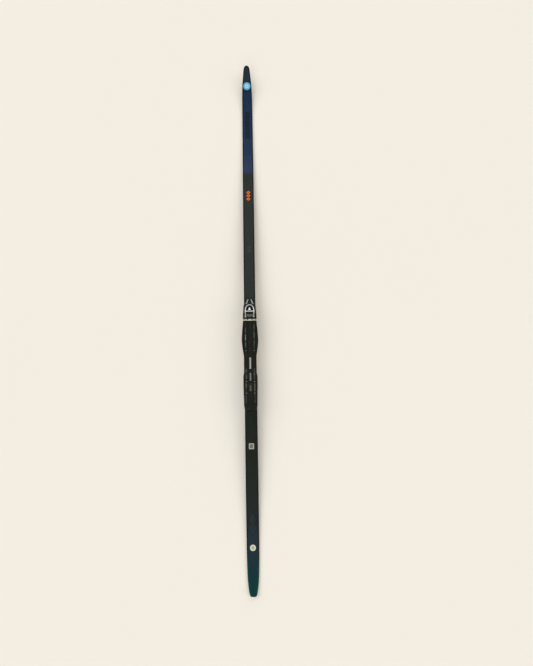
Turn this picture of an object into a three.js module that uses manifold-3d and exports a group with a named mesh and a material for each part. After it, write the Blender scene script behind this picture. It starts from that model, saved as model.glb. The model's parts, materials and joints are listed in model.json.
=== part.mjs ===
// A classic cross country ski with a toe binding that slides on a rail.
// Units are millimetres. X is across the ski, Y runs from the tail to the tip, Z is up.
// The origin is on the ground, midway between tail and tip. The ski is unloaded, so its arch stands open.

import * as THREE from 'three';
import { mergeVertices } from 'three/addons/utils/BufferGeometryUtils.js';
import Module from 'manifold-3d';

const wasm = await Module();
wasm.setup();

// ---------------------------------------------------------------- driving dimensions: the ski

const SKI_LENGTH = 2070;
const TIP_Y = SKI_LENGTH / 2;
const TAIL_Y = -SKI_LENGTH / 2;

// The base touches the ground on two flat zones and arches between them.
const FRONT_CONTACT = [700, 790];
const REAR_CONTACT = [-960, -880];
const ARCH_CENTRE_Y = -224;
const ARCH_HEIGHT = 22;
const ARCH_POWER = 2.5;
const TIP_LIFT = 58;
const TIP_LIFT_POWER = 2.2;
const TAIL_LIFT = 6;

// [Y, whole width] of the outline, and [Y, whole thickness] of the side view.
const WIDTHS = [
  [TAIL_Y, 15], [-1033, 20.5], [-1027, 25.5], [-1015, 30], [-985, 37], [-925, 41.2], [-833, 43],
  [-700, 44.4], [-400, 45], [0, 43.6], [400, 44.2], [755, 43.2], [901, 42.2], [948, 40.3],
  [998, 31.6], [1022, 25.5], [1028.5, 21.5], [1033, 14.5], [TIP_Y, 7],
];
const THICKNESSES = [
  [TAIL_Y, 6.4], [-880, 9], [-620, 19], [-432, 27.2], [-224, 28], [0, 26.8],
  [300, 19], [600, 11], [790, 7.4], [TIP_Y, 5],
];

const SIDE_DRAFT = 0.04; // the sides lean in by this much for each millimetre of height
const GLUE_LINE = 0.1;
const BASE_THICKNESS = 1.3;
const LAMINATE_THICKNESS = 0.8;
const TOP_SHEET_THICKNESS = 0.6;
const TOP_SHEET_BEVEL = 0.4;
const SIDEWALL_THICKNESS = 2.4;

const CORE_ENDS = [-986, 961]; // the end spacers begin here
const GROOVE_ENDS = [-930, 760];
const GROOVE_FADE = 30;
const GROOVE_HALF_WIDTH = 4;
const GROOVE_FLOOR_HALF_WIDTH = 2.5;
const GROOVE_DEPTH = 0.8;
const SHALLOWEST_GROOVE = 0.05;

const SKIN_ENDS = [-330, 90];
const SKIN_X = [6, 19];
const SKIN_POCKET_DEPTH = 0.8;
const SKIN_PROUD = 0.25;
const FIT_GAP = 0.3;
const JOIN_OVERLAP = 0.5; // shapes that are joined reach this far into each other

const INSERT_ENDS = [-400, -40];
const INSERT_HALF_WIDTH = 16.5;
const INSERT_THICKNESS = 2.6;

const DECAL_THICKNESS = 0.4;
const BADGE = { y: 957, radius: 17 };
const LABEL = { y: -554, width: 18, length: 19.6 };
const STICKER = { y: -886, radius: 10.1 };

// ---------------------------------------------------------------- driving dimensions: the mounting plate

const SHIFT_TRAVEL = 12; // the binding slides this far each way
const PLATE_ENDS = [-426, -19];
const PLATE_HALF_WIDTH = 20.5;
const PLATE_NOSE = { fromY: -46, halfWidth: 9.5 };
const PLATE_EDGE_BEVEL = 0.8;
const PLATE_TOP_Z = 53;
const RAIL_ENDS = [-408, -42];
const RAIL_NECK = { halfWidth: 6, top: PLATE_TOP_Z + 2 };
const RAIL_HEAD = { halfWidth: 9.5, top: PLATE_TOP_Z + 3.6 };
const NOTCH_PITCH = 4;
const NOTCH_WIDTH = 2.6;
const NOTCH_DEPTH = 1.1;
const NOTCH_HALF_LENGTH = 8;
const NOTCH_COUNT = (2 * SHIFT_TRAVEL) / NOTCH_PITCH + 1;
const PLATE_SCREWS = [[0, -34], [-14, -140], [14, -140], [-14, -330], [14, -330]];
const PLATE_SCREW = { headRadius: 4, headHeight: 2.5, shankRadius: 2.2, tipZ: 35 };

// ---------------------------------------------------------------- driving dimensions: the binding
// Y is measured here from the boot bar, forwards. Z is still measured from the ground.

const BAR_Y = -100;
const CARRIAGE_BOTTOM_Z = PLATE_TOP_Z + FIT_GAP;
const FLOOR_Z = 61.5;
const HOUSING_REAR_Y = -4;
const APRON = { halfWidth: 25, frontY: 4 };
const RECESS_FLOOR_Z = 58.3;
const RECESS = { halfWidth: 17.2, front: 27 };
// Half widths at the bottom, at the shoulder and along the top, with the heights of the last two.
const HOUSING_SECTIONS = [
  { y: 84, bottom: 11, shoulder: 10.5, shoulderZ: 55, top: 6, topZ: 56.2 },
  { y: 79, bottom: 14, shoulder: 13.5, shoulderZ: 56.4, top: 7.2, topZ: 58.8 },
  { y: 66, bottom: 19.4, shoulder: 18.8, shoulderZ: 57.8, top: 10, topZ: 61.8 },
  { y: 58.5, bottom: 22, shoulder: 21.5, shoulderZ: 58.9, top: 12.5, topZ: 63.4 },
  { y: 54, bottom: 22.6, shoulder: 22.2, shoulderZ: 60.2, top: 18.8, topZ: 66.3 },
  { y: 36, bottom: 24.2, shoulder: 23.8, shoulderZ: 61.5, top: 21.4, topZ: 69.6 },
  { y: 20, bottom: 25.2, shoulder: 24.9, shoulderZ: 62, top: 22.4, topZ: 71.2 },
  { y: 3.6, bottom: 25.4, shoulder: 25.2, shoulderZ: 61.5, top: 22.6, topZ: 69.4 },
];

const BAR_SEAT = { halfWidth: 25, y: [-3.7, 3.2], z: [RECESS_FLOOR_Z + FIT_GAP, 60.4] };
const SEAT_SCREW = { x: 21, headRadius: 2.4, headHeight: 1.4, shankRadius: 1.3, tipZ: 55 };

const LEVER_PIVOT = { y: 10, z: 68 };
const LEVER_SLOPE = THREE.MathUtils.degToRad(3);
const LEVER_THICKNESS = 4.4;
const LEVER = { rearY: -4, rearHalf: 16.7, wideY: 22, wideHalf: 17.7, frontY: 46.8, bar: 3.3 };
const LEVER_ARM_INNER_FLARE = 0.2;
// How the round fronts bulge: the pull of the curve forwards, and its share of the half width.
const LEVER_BULGE = { forwards: 4, share: 0.95 };
const PAD_BULGE = { forwards: 3, share: 0.9 };
const CROSSBAR = [18.5, 21.6];
const LEVER_ARM_X = [12.7, 16.5];
const LEVER_BOSS_RADIUS = 3.4;
const LEVER_CAM = { halfLength: 2, reach: 6.5 };
const LEVER_POCKET_GAP = 1.2;
const LEVER_POCKET_DROP = 0.5;
const PAD_THICKNESS = 3;
const PAD_LIFT = 0.3; // the pad's underside above the frame's
const PAD_DIMPLE = { y: 38.9, radius: 2.1, floorRadius: 0.6, depth: 1.4 };
const PIN_RADIUS = 2;
const RUNNING_GAP = 0.1;
const LEVER_PIN_X = [12.2, 22];

const JAW_PLATE = { halfWidth: 11, y: [4.3, 34], z: [58.6, 60.6] };
const JAW_TRAVEL = 8.06;
const JAW_HOOK = { x: 8, width: 4.5 };
// The hook's side view: a post that leans back over the boot bar and ends in a blunt beak.
const JAW_HOOK_OUTLINE = [
  [4.3, 58.6], [8.3, 58.6], [8.3, 65.2], [6.7, 67], [-1.4, 67], [-2.3, 66], [-2.3, 64.8], [2.6, 64.8],
  [4.3, 63.2],
];
const JAW_EAR = { rootX: 10.5, x: [12.2, 16.5], y: [12.6, 16], top: 63 };
const JAW_CHANNEL_GAP = 0.3;

const JAW_SPRING = { y: [34.4, 54], z: 59.9, coilRadius: 1.55, wireRadius: 0.35, turns: 7 };
const SPRING_CHAMBER = { radius: 2.25, length: 30 };

const FLEXOR = { halfWidth: 11.8, y: [6, 26.6], z: [61.2, 69.3] };
const FLEXOR_FRONT_BEVEL = { length: 2, height: 1.5 };
const FLEXOR_REAR_BEVEL = { length: 5, height: 3.4 };
const FLEXOR_SLOT = { width: 5.7, front: 17.5, top: 67.5 };
const FLEXOR_TONGUE = { halfWidth: 8, front: 31, z: [62, 64.2] };

// [Y, half width] of the plates' outlines behind the boot bar, and where each plate ends.
const PLATE_OUTLINE = [
  [-332, 17.5], [-329, 20.6], [-322, 22.2], [-309, 24.1], [-304, 23.6], [-300, 23.8], [-271, 24.6],
  [-230, 25.3], [-213, 25.3], [-205, 24.3], [-196, 22.75], [-140, 22.75], [-128, 24.2],
  [-117, 26], [-95, 28.7], [-76, 30], [-45, 28.4], [-20, 26.2], [-4, 25],
];
// [Y, height of the two ridges that the boot sole's grooves drop over].
const RIDGE_HEIGHTS = [
  [-332, 0.6], [-324, 1.6], [-308, 4.2], [-272, 5], [-230, 4.6], [-210, 3.4], [-190, 1.8],
  [-145, 1.8], [-126, 3.2], [-110, 5], [-20, 5], [-9, 3.6], [-4, 1.2],
];
const RIDGE = { foot: [10.2, 19], crest: [12, 17.2] };
const PLATE_SIDE = { bottomInset: 1.6, lowZ: 55.4, highZ: 59.4, topInset: 1.8 };
const CARRIAGE_PLATES = [
  {
    name: 'forefoot_plate',
    y: [-117, -4.4],
    stations: [-110, -104, -98, -92, -87, -81, -76, -69, -62, -54, -45, -36, -28, -20, -14, -9],
  },
  {
    name: 'link_plate',
    y: [-229.6, -117.4],
    stations: [-221, -213, -209, -205, -200, -196, -190, -168, -145, -140, -134, -128, -122],
  },
  { name: 'shift_block', y: [-270.8, -230], stations: [-257, -243] },
  { name: 'heel_plate', y: [-306, -271.2], stations: [-304, -302, -300, -285] },
  { name: 'heel_cap', y: [-332, -306.4], stations: [-330.5, -329, -326, -322, -316, -309] },
];
const TONGUE = { x: 16, width: 7, length: 6, z: [54.6, 57.4] };

const LATCH_PIVOT = { y: -242.5, z: 59.9 };
const LATCH_WINDOW = { halfWidth: 9.6, y: [-268.4, -233.4], sillY: -240.4, sillZ: 58.2 };
const LATCH = { halfWidth: 9.2, y: [-267.8, -234], z: [58.7, 61.2] };
const LATCH_NOSE = { bottomZ: 59.9, length: 6.1 }; // thinner, to clear the spring below it
const LATCH_TOOTH = { y: -264, width: 1.8, halfWidth: 7, tipZ: 55.8 };
const LATCH_LIP = { length: 2.6, height: 1.2, slope: 0.8 };
const LATCH_PIN = { radius: 1, halfLength: 13 };
const LATCH_SPRING = { halfWidth: 4, thickness: 0.4, y: [-239.8, -234.4], foot: 1.5, risesTo: 59.1 };

// ---------------------------------------------------------------- colours

const COLOURS = {
  base: 0x23262a,
  skin: 0xc9b68c,
  laminate: 0x2a2c2c,
  core: 0xd8c8a0,
  sidewall: 0x1b1d1f,
  spacer: 0x17191c,
  topSheet: 0x262b2d,
  badge: 0x49b8cc,
  label: 0xb9b7a8,
  sticker: 0xcac8b4,
  insert: 0x8a8d90,
  plate: 0x1d1e1c,
  housing: 0x1a1b18,
  footPlate: 0x262822,
  rubber: 0x3a3f3a,
  silver: 0xcfd0cc,
  steel: 0xa9aaa6,
  springSteel: 0x8d9092,
};

// ---------------------------------------------------------------- general geometry

// A smooth curve through [position, value] points that never overshoots between them.
function smoothCurve(points) {
  const slopes = points.slice(1).map(([x, value], i) => (value - points[i][1]) / (x - points[i][0]));
  const tangents = points.map((_, i) => {
    const before = slopes[Math.max(i - 1, 0)];
    const after = slopes[Math.min(i, slopes.length - 1)];
    return before * after <= 0 ? 0 : (2 * before * after) / (before + after);
  });
  return (x) => {
    const next = points.findIndex(([end], i) => i > 0 && x <= end);
    const i = (next < 0 ? points.length - 1 : next) - 1;
    const [x0, v0] = points[i];
    const [x1, v1] = points[i + 1];
    const span = x1 - x0;
    const t = THREE.MathUtils.clamp((x - x0) / span, 0, 1);
    const bend = t * t * (3 - 2 * t);
    return v0 * (1 - bend) + v1 * bend
      + tangents[i] * span * t * (1 - t) ** 2 - tangents[i + 1] * span * t * t * (1 - t);
  };
}

// The same points joined by straight lines.
function brokenLine(points) {
  return (x) => {
    const next = points.findIndex(([end], i) => i > 0 && x <= end);
    const i = (next < 0 ? points.length - 1 : next) - 1;
    const t = THREE.MathUtils.clamp((x - points[i][0]) / (points[i + 1][0] - points[i][0]), 0, 1);
    return THREE.MathUtils.lerp(points[i][1], points[i + 1][1], t);
  };
}

// A closed body through cross sections. Each section is a loop of [x, z] points, anticlockwise
// when seen from the tail, and all the sections have the same number of points.
function loftAlongY(stations, sectionAt) {
  const loops = stations.map((y) => sectionAt(y).map(([x, z]) => [x, y, z]));
  const count = loops[0].length;
  const index = [];
  for (let s = 0; s < loops.length - 1; s += 1) {
    for (let k = 0; k < count; k += 1) {
      const a = s * count + k;
      const b = s * count + ((k + 1) % count);
      index.push(a, a + count, b + count, a, b + count, b);
    }
  }
  index.push(...endCap(loops[0], 0, false));
  index.push(...endCap(loops.at(-1), (loops.length - 1) * count, true));
  const geometry = new THREE.BufferGeometry();
  geometry.setAttribute('position', new THREE.Float32BufferAttribute(loops.flat(2), 3));
  geometry.setIndex(index);
  geometry.computeVertexNormals();
  return geometry;
}

function endCap(loop, firstIndex, facesTip) {
  const outline = loop.map(([x, , z]) => new THREE.Vector2(x, z));
  return THREE.ShapeUtils.triangulateShape(outline, []).flatMap((corners) => {
    const anticlockwise = THREE.ShapeUtils.area(corners.map((i) => outline[i])) > 0;
    const ordered = anticlockwise === facesTip ? [...corners].reverse() : corners;
    return ordered.map((i) => firstIndex + i);
  });
}

function toSolid(geometry) {
  const bare = geometry.clone();
  bare.deleteAttribute('normal');
  bare.deleteAttribute('uv');
  const merged = mergeVertices(bare, 1e-4);
  return new wasm.Manifold(new wasm.Mesh({
    numProp: 3,
    vertProperties: new Float32Array(merged.attributes.position.array),
    triVerts: new Uint32Array(merged.index.array),
  }));
}

function toGeometry(solid) {
  const mesh = solid.getMesh();
  const geometry = new THREE.BufferGeometry();
  geometry.setAttribute('position', new THREE.BufferAttribute(mesh.vertProperties, 3));
  geometry.setIndex(new THREE.BufferAttribute(mesh.triVerts, 1));
  geometry.computeVertexNormals();
  return geometry;
}

const join = (...parts) => toGeometry(parts.map(toSolid).reduce((sum, part) => sum.add(part)));
const cut = (body, ...tools) => toGeometry(
  tools.map(toSolid).reduce((rest, tool) => rest.subtract(tool), toSolid(body)),
);
const common = (a, b) => toGeometry(toSolid(a).intersect(toSolid(b)));

function block([x0, x1], [y0, y1], [z0, z1]) {
  return new THREE.BoxGeometry(x1 - x0, y1 - y0, z1 - z0)
    .translate((x0 + x1) / 2, (y0 + y1) / 2, (z0 + z1) / 2);
}

// A span on the left (sign -1) or on the right (sign 1), lowest value first.
const mirrored = (span, sign) => span.map((x) => sign * x).sort((a, b) => a - b);

function rodAlongX(radius, [x0, x1], y, z, sides = 16) {
  return new THREE.CylinderGeometry(radius, radius, x1 - x0, sides)
    .rotateZ(Math.PI / 2)
    .translate((x0 + x1) / 2, y, z);
}

function rodAlongZ(radius, x, y, [z0, z1], sides = 16) {
  return new THREE.CylinderGeometry(radius, radius, z1 - z0, sides)
    .rotateX(Math.PI / 2)
    .translate(x, y, (z0 + z1) / 2);
}

// Turns a side-view outline of [y, z] points into a solid of the given width across X.
function extrudeAcross(outline, [x0, x1]) {
  const shape = new THREE.Shape(outline.map(([y, z]) => new THREE.Vector2(y, z)));
  const turn = new THREE.Matrix4().makeBasis(
    new THREE.Vector3(0, 1, 0),
    new THREE.Vector3(0, 0, 1),
    new THREE.Vector3(1, 0, 0),
  );
  return new THREE.ExtrudeGeometry(shape, { depth: x1 - x0, bevelEnabled: false })
    .applyMatrix4(turn)
    .translate(x0, 0, 0);
}

const HEAD_RIM = 0.3; // the straight edge round a countersunk head
const SCREW_POINT = { radiusShare: 0.5, bevel: 1, length: 3 };
const SCREW_SIDES = 14;
const OVERCUT = 3; // how far a cutting shape runs past the face that it cuts
const ABOVE_ALL_Z = 90;
const ACROSS_ALL = [-40, 40];

function countersunkScrew(size, headTopZ) {
  const { headRadius, headHeight, shankRadius, tipZ } = size;
  const profile = [
    [0, tipZ], [shankRadius * SCREW_POINT.radiusShare, tipZ + SCREW_POINT.bevel],
    [shankRadius, tipZ + SCREW_POINT.length],
    [shankRadius, headTopZ - headHeight], [headRadius, headTopZ - HEAD_RIM],
    [headRadius, headTopZ], [0, headTopZ],
  ];
  const body = new THREE.LatheGeometry(profile.map(([r, z]) => new THREE.Vector2(r, z)), SCREW_SIDES)
    .rotateX(Math.PI / 2);
  const slotHalf = headRadius * 0.16;
  const slotReach = headRadius * 0.55;
  const slotZ = [headTopZ - headHeight * 0.5, headTopZ + 1];
  return cut(
    body,
    block([-slotHalf, slotHalf], [-slotReach, slotReach], slotZ),
    block([-slotReach, slotReach], [-slotHalf, slotHalf], slotZ),
  );
}

// The space that a countersunk screw takes, with the fit gap all round.
function screwHole(size, headTopZ) {
  const { headRadius, headHeight, shankRadius, tipZ } = size;
  const gap = FIT_GAP * 0.7;
  const profile = [
    [0, tipZ - FIT_GAP], [shankRadius + gap, tipZ - FIT_GAP],
    [shankRadius + gap, headTopZ - headHeight - gap], [headRadius + gap, headTopZ - HEAD_RIM - gap],
    [headRadius + gap, headTopZ + OVERCUT], [0, headTopZ + OVERCUT],
  ];
  return new THREE.LatheGeometry(profile.map(([r, z]) => new THREE.Vector2(r, z)), SCREW_SIDES)
    .rotateX(Math.PI / 2);
}

function material(color, roughness, metalness = 0) {
  return new THREE.MeshStandardMaterial({ color, roughness, metalness });
}

const moulded = (color) => material(color, 0.55);
const glossy = (color) => material(color, 0.3);
const soft = (color) => material(color, 0.85);
const metal = (color) => material(color, 0.3, 1);

function piece(name, geometry, look) {
  const mesh = new THREE.Mesh(geometry, look);
  mesh.name = name;
  return mesh;
}

// ---------------------------------------------------------------- the ski's lines

const skiWidth = smoothCurve(WIDTHS);
const skiThickness = smoothCurve(THICKNESSES);

function baseZ(y) {
  if (y > FRONT_CONTACT[1]) {
    return TIP_LIFT * ((y - FRONT_CONTACT[1]) / (TIP_Y - FRONT_CONTACT[1])) ** TIP_LIFT_POWER;
  }
  if (y < REAR_CONTACT[0]) {
    return TAIL_LIFT * ((REAR_CONTACT[0] - y) / (REAR_CONTACT[0] - TAIL_Y)) ** 2;
  }
  const footY = y > ARCH_CENTRE_Y ? FRONT_CONTACT[0] : REAR_CONTACT[1];
  const reach = Math.min((y - ARCH_CENTRE_Y) / (footY - ARCH_CENTRE_Y), 1);
  return ARCH_HEIGHT * (1 - reach ** ARCH_POWER) ** 2;
}

const topZ = (y) => baseZ(y) + skiThickness(y);
const halfWidthAt = (y, height) => skiWidth(y) / 2 - SIDE_DRAFT * height;

// Every layer uses the same cross sections, so that the layers stay parallel.
function skiStations() {
  const fromEnd = { tail: [0, 2, 5, 9, 15, 24, 36, 60], tip: [0, 1, 2.5, 5, 9, 14, 22, 34, 50] };
  const marks = [
    ...fromEnd.tail.map((d) => TAIL_Y + d),
    ...fromEnd.tip.map((d) => TIP_Y - d),
    ...CORE_ENDS, ...GROOVE_ENDS, GROOVE_ENDS[0] + GROOVE_FADE, GROOVE_ENDS[1] - GROOVE_FADE,
    ...FRONT_CONTACT, ...REAR_CONTACT, ...SKIN_ENDS, ...INSERT_ENDS, ...PLATE_ENDS, PLATE_NOSE.fromY,
  ];
  for (let y = -800; y < FRONT_CONTACT[0]; y += 60) marks.push(y);
  for (let y = FRONT_CONTACT[1] + 20; y < TIP_Y - 60; y += 22) marks.push(y);
  const sorted = marks.sort((a, b) => a - b);
  return sorted.filter((y, i) => i === 0 || y - sorted[i - 1] > 0.5);
}

const STATIONS = skiStations();
const stationsWithin = ([low, high]) => STATIONS.filter((y) => y >= low - 0.01 && y <= high + 0.01);
const WHOLE_SKI = [TAIL_Y, TIP_Y];
const SKI_HEIGHT = [-10, ABOVE_ALL_Z]; // taller than the ski at any point

// The same span, shorter by the fit gap at each end.
const shorter = ([low, high]) => [low + FIT_GAP, high - FIT_GAP];

// A layer between two heights above the base, as wide as the ski less an inset on each side.
function layer(ends, lowAt, highAt, inset = 0) {
  return loftAlongY(stationsWithin(ends), (y) => {
    const low = lowAt(y);
    const high = highAt(y);
    const wLow = halfWidthAt(y, low) - inset;
    const wHigh = halfWidthAt(y, high) - inset;
    const z = baseZ(y);
    return [[-wLow, z + low], [wLow, z + low], [wHigh, z + high], [-wHigh, z + high]];
  });
}

// A strip of constant half width, or between two X values, that follows the ski.
function strip(ends, [x0, x1], lowAt, highAt) {
  return loftAlongY(stationsWithin(ends), (y) => {
    const z = baseZ(y);
    return [[x0, z + lowAt(y)], [x1, z + lowAt(y)], [x1, z + highAt(y)], [x0, z + highAt(y)]];
  });
}

const BASE_TOP = BASE_THICKNESS;
const LOWER_LAMINATE = [BASE_TOP + GLUE_LINE, BASE_TOP + GLUE_LINE + LAMINATE_THICKNESS];
const coreLow = () => LOWER_LAMINATE[1] + GLUE_LINE;
const topSheetLow = (y) => skiThickness(y) - TOP_SHEET_THICKNESS;
const upperLaminateHigh = (y) => topSheetLow(y) - GLUE_LINE;
const upperLaminateLow = (y) => upperLaminateHigh(y) - LAMINATE_THICKNESS;
const coreHigh = (y) => upperLaminateLow(y) - GLUE_LINE;
const insertLow = (y) => coreHigh(y) - INSERT_THICKNESS;

// ---------------------------------------------------------------- the ski's pieces

function grooveDepth(y) {
  const fade = Math.min((y - GROOVE_ENDS[0]) / GROOVE_FADE, (GROOVE_ENDS[1] - y) / GROOVE_FADE);
  return Math.max(GROOVE_DEPTH * THREE.MathUtils.clamp(fade, 0, 1), SHALLOWEST_GROOVE);
}

function skinPocket([x0, x1]) {
  return strip(SKIN_ENDS, [x0 - FIT_GAP, x1 + FIT_GAP], () => -OVERCUT, () => SKIN_POCKET_DEPTH);
}

function gripSkin([x0, x1]) {
  const high = SKIN_POCKET_DEPTH - FIT_GAP;
  const body = strip(SKIN_ENDS, [x0, x1], () => -SKIN_PROUD, () => high);
  return common(body, block([x0 - 1, x1 + 1], shorter(SKIN_ENDS), SKI_HEIGHT));
}

function baseSheet() {
  const body = loftAlongY(stationsWithin(WHOLE_SKI), (y) => {
    const z = baseZ(y);
    const low = halfWidthAt(y, 0);
    const high = halfWidthAt(y, BASE_TOP);
    const lip = Math.min(GROOVE_HALF_WIDTH, low * 0.8);
    const floor = Math.min(GROOVE_FLOOR_HALF_WIDTH, low * 0.5);
    const depth = grooveDepth(y);
    return [
      [-low, z], [-lip, z], [-floor, z + depth], [floor, z + depth], [lip, z], [low, z],
      [high, z + BASE_TOP], [-high, z + BASE_TOP],
    ];
  });
  return cut(body, skinPocket([-SKIN_X[1], -SKIN_X[0]]), skinPocket(SKIN_X));
}

function sidewall(side) {
  return loftAlongY(stationsWithin(CORE_ENDS), (y) => {
    const z = baseZ(y);
    const low = coreLow();
    const high = coreHigh(y);
    const outerLow = halfWidthAt(y, low);
    const outerHigh = halfWidthAt(y, high);
    const loop = [
      [outerLow - SIDEWALL_THICKNESS, z + low], [outerLow, z + low],
      [outerHigh, z + high], [outerHigh - SIDEWALL_THICKNESS, z + high],
    ];
    return side > 0 ? loop : loop.map(([x, height]) => [-x, height]).reverse();
  });
}

const plateScrewHoles = PLATE_SCREWS.map(
  ([x, y]) => screwHole(PLATE_SCREW, PLATE_TOP_Z).translate(x, y, 0),
);

function insertStrip(grow) {
  return strip(
    INSERT_ENDS,
    [-INSERT_HALF_WIDTH - grow, INSERT_HALF_WIDTH + grow],
    (y) => insertLow(y) - grow,
    (y) => coreHigh(y) + (grow ? 1 : 0),
  );
}

function core() {
  const body = layer(CORE_ENDS, coreLow, coreHigh, SIDEWALL_THICKNESS + GLUE_LINE);
  return cut(body, insertStrip(FIT_GAP), ...plateScrewHoles);
}

function bindingInsert() {
  const body = common(insertStrip(0), block(ACROSS_ALL, shorter(INSERT_ENDS), SKI_HEIGHT));
  return cut(body, ...plateScrewHoles);
}

// Fills the tip or the tail where the core stops.
const spacer = (ends) => layer(ends, coreLow, coreHigh);

const lowerLaminate = () => layer(WHOLE_SKI, () => LOWER_LAMINATE[0], () => LOWER_LAMINATE[1]);

const upperLaminate = () => cut(
  layer(WHOLE_SKI, upperLaminateLow, upperLaminateHigh),
  ...plateScrewHoles,
);

function topSheet() {
  const body = loftAlongY(stationsWithin(WHOLE_SKI), (y) => {
    const z = baseZ(y);
    const low = topSheetLow(y);
    const high = skiThickness(y);
    const width = halfWidthAt(y, low);
    return [
      [-width, z + low], [width, z + low], [width, z + high - TOP_SHEET_BEVEL],
      [width - TOP_SHEET_BEVEL, z + high], [-width + TOP_SHEET_BEVEL, z + high],
      [-width, z + high - TOP_SHEET_BEVEL],
    ];
  });
  return cut(body, ...plateScrewHoles);
}

// A thin piece of the given outline, laid on the curved top of the ski.
function decal(outlineSolid) {
  const skin = layer(
    WHOLE_SKI,
    (y) => skiThickness(y) + GLUE_LINE,
    (y) => skiThickness(y) + GLUE_LINE + DECAL_THICKNESS,
  );
  return common(skin, outlineSolid);
}

const discOutline = ({ y, radius }) => rodAlongZ(radius, 0, y, SKI_HEIGHT, 32);
const labelOutline = block(
  [-LABEL.width / 2, LABEL.width / 2],
  [LABEL.y - LABEL.length / 2, LABEL.y + LABEL.length / 2],
  SKI_HEIGHT,
);

// The plate's underside follows the ski. Its front narrows under the nose of the binding.
function mountingPlate() {
  const body = loftAlongY(stationsWithin(PLATE_ENDS), (y) => {
    const z = topZ(y) + GLUE_LINE;
    const w = THREE.MathUtils.mapLinear(
      Math.max(y, PLATE_NOSE.fromY),
      PLATE_NOSE.fromY,
      PLATE_ENDS[1],
      PLATE_HALF_WIDTH,
      PLATE_NOSE.halfWidth,
    );
    const bevel = PLATE_EDGE_BEVEL;
    return [
      [-w, z], [w, z], [w, PLATE_TOP_Z - bevel], [w - bevel, PLATE_TOP_Z],
      [-w + bevel, PLATE_TOP_Z], [-w, PLATE_TOP_Z - bevel],
    ];
  });
  const neck = block(
    [-RAIL_NECK.halfWidth, RAIL_NECK.halfWidth],
    RAIL_ENDS,
    [PLATE_TOP_Z - JOIN_OVERLAP, RAIL_NECK.top],
  );
  const head = block(
    [-RAIL_HEAD.halfWidth, RAIL_HEAD.halfWidth],
    RAIL_ENDS,
    [RAIL_NECK.top, RAIL_HEAD.top],
  );
  const notches = Array.from({ length: NOTCH_COUNT }, (_, i) => {
    const y = BAR_Y + LATCH_TOOTH.y + (i - (NOTCH_COUNT - 1) / 2) * NOTCH_PITCH;
    return block(
      [-NOTCH_HALF_LENGTH, NOTCH_HALF_LENGTH],
      [y - NOTCH_WIDTH / 2, y + NOTCH_WIDTH / 2],
      [RAIL_HEAD.top - NOTCH_DEPTH, RAIL_HEAD.top + 1],
    );
  });
  return cut(join(body, neck, head), ...notches, ...plateScrewHoles);
}

function ski() {
  const group = new THREE.Group();
  group.add(
    piece('base_sheet', baseSheet(), glossy(COLOURS.base)),
    piece('skin_left', gripSkin([-SKIN_X[1], -SKIN_X[0]]), soft(COLOURS.skin)),
    piece('skin_right', gripSkin(SKIN_X), soft(COLOURS.skin)),
    piece('lower_laminate', lowerLaminate(), moulded(COLOURS.laminate)),
    piece('core', core(), soft(COLOURS.core)),
    piece('sidewall_left', sidewall(-1), moulded(COLOURS.sidewall)),
    piece('sidewall_right', sidewall(1), moulded(COLOURS.sidewall)),
    piece('tip_spacer', spacer([CORE_ENDS[1], TIP_Y]), moulded(COLOURS.spacer)),
    piece('tail_spacer', spacer([TAIL_Y, CORE_ENDS[0]]), moulded(COLOURS.spacer)),
    piece('binding_insert', bindingInsert(), metal(COLOURS.insert)),
    piece('upper_laminate', upperLaminate(), moulded(COLOURS.laminate)),
    piece('top_sheet', topSheet(), glossy(COLOURS.topSheet)),
    piece('tip_badge', decal(discOutline(BADGE)), glossy(COLOURS.badge)),
    piece('size_label', decal(labelOutline), moulded(COLOURS.label)),
    piece('tail_sticker', decal(discOutline(STICKER)), moulded(COLOURS.sticker)),
    piece('mounting_plate', mountingPlate(), moulded(COLOURS.plate)),
  );
  PLATE_SCREWS.forEach(([x, y], i) => {
    const shape = countersunkScrew(PLATE_SCREW, PLATE_TOP_Z);
    const screw = piece(`plate_screw_${i + 1}`, shape, metal(COLOURS.steel));
    screw.position.set(x, y, 0);
    group.add(screw);
  });
  return group;
}

// ---------------------------------------------------------------- the sliding pieces of the binding

// The T-shaped space along every sliding piece that the plate's rail runs in.
// It is longer than the rail by the travel and a little more, so the nose and the heel stay closed.
function railSlot() {
  const spare = SHIFT_TRAVEL + 2;
  const ends = [RAIL_ENDS[0] - BAR_Y - spare, RAIL_ENDS[1] - BAR_Y + spare];
  const neck = RAIL_NECK.halfWidth + FIT_GAP;
  const head = RAIL_HEAD.halfWidth + FIT_GAP;
  return join(
    block([-neck, neck], ends, [PLATE_TOP_Z - 1, RAIL_NECK.top]),
    block([-head, head], ends, [RAIL_NECK.top - FIT_GAP, RAIL_HEAD.top + FIT_GAP]),
  );
}

function tongues(rootY, direction, grow = 0) {
  const { x, width, length, z } = TONGUE;
  const half = width / 2 + grow;
  const root = rootY - direction * JOIN_OVERLAP;
  const reach = [root, rootY + direction * (length + grow)].sort((a, b) => a - b);
  const heights = [z[0] - grow, z[1] + grow];
  return [-x, x].map((centre) => block([centre - half, centre + half], reach, heights));
}

// The lever's outer line, from the rear of the right arm round the front to the rear of the left arm.
function leverShape(grow) {
  const { rearY, rearHalf, wideY, wideHalf, frontY } = LEVER;
  const rear = rearHalf + grow;
  const wide = wideHalf + grow;
  const front = frontY + grow;
  const bulgeY = wideY + LEVER_BULGE.forwards;
  const bulgeX = wide * LEVER_BULGE.share;
  const shape = new THREE.Shape();
  shape.moveTo(rear, rearY - grow);
  shape.lineTo(wide, wideY);
  shape.bezierCurveTo(wide, bulgeY, bulgeX, front, 0, front);
  shape.bezierCurveTo(-bulgeX, front, -wide, bulgeY, -wide, wideY);
  shape.lineTo(-rear, rearY - grow);
  return shape;
}

const LEVER_CURVE_STEPS = 12;

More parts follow.
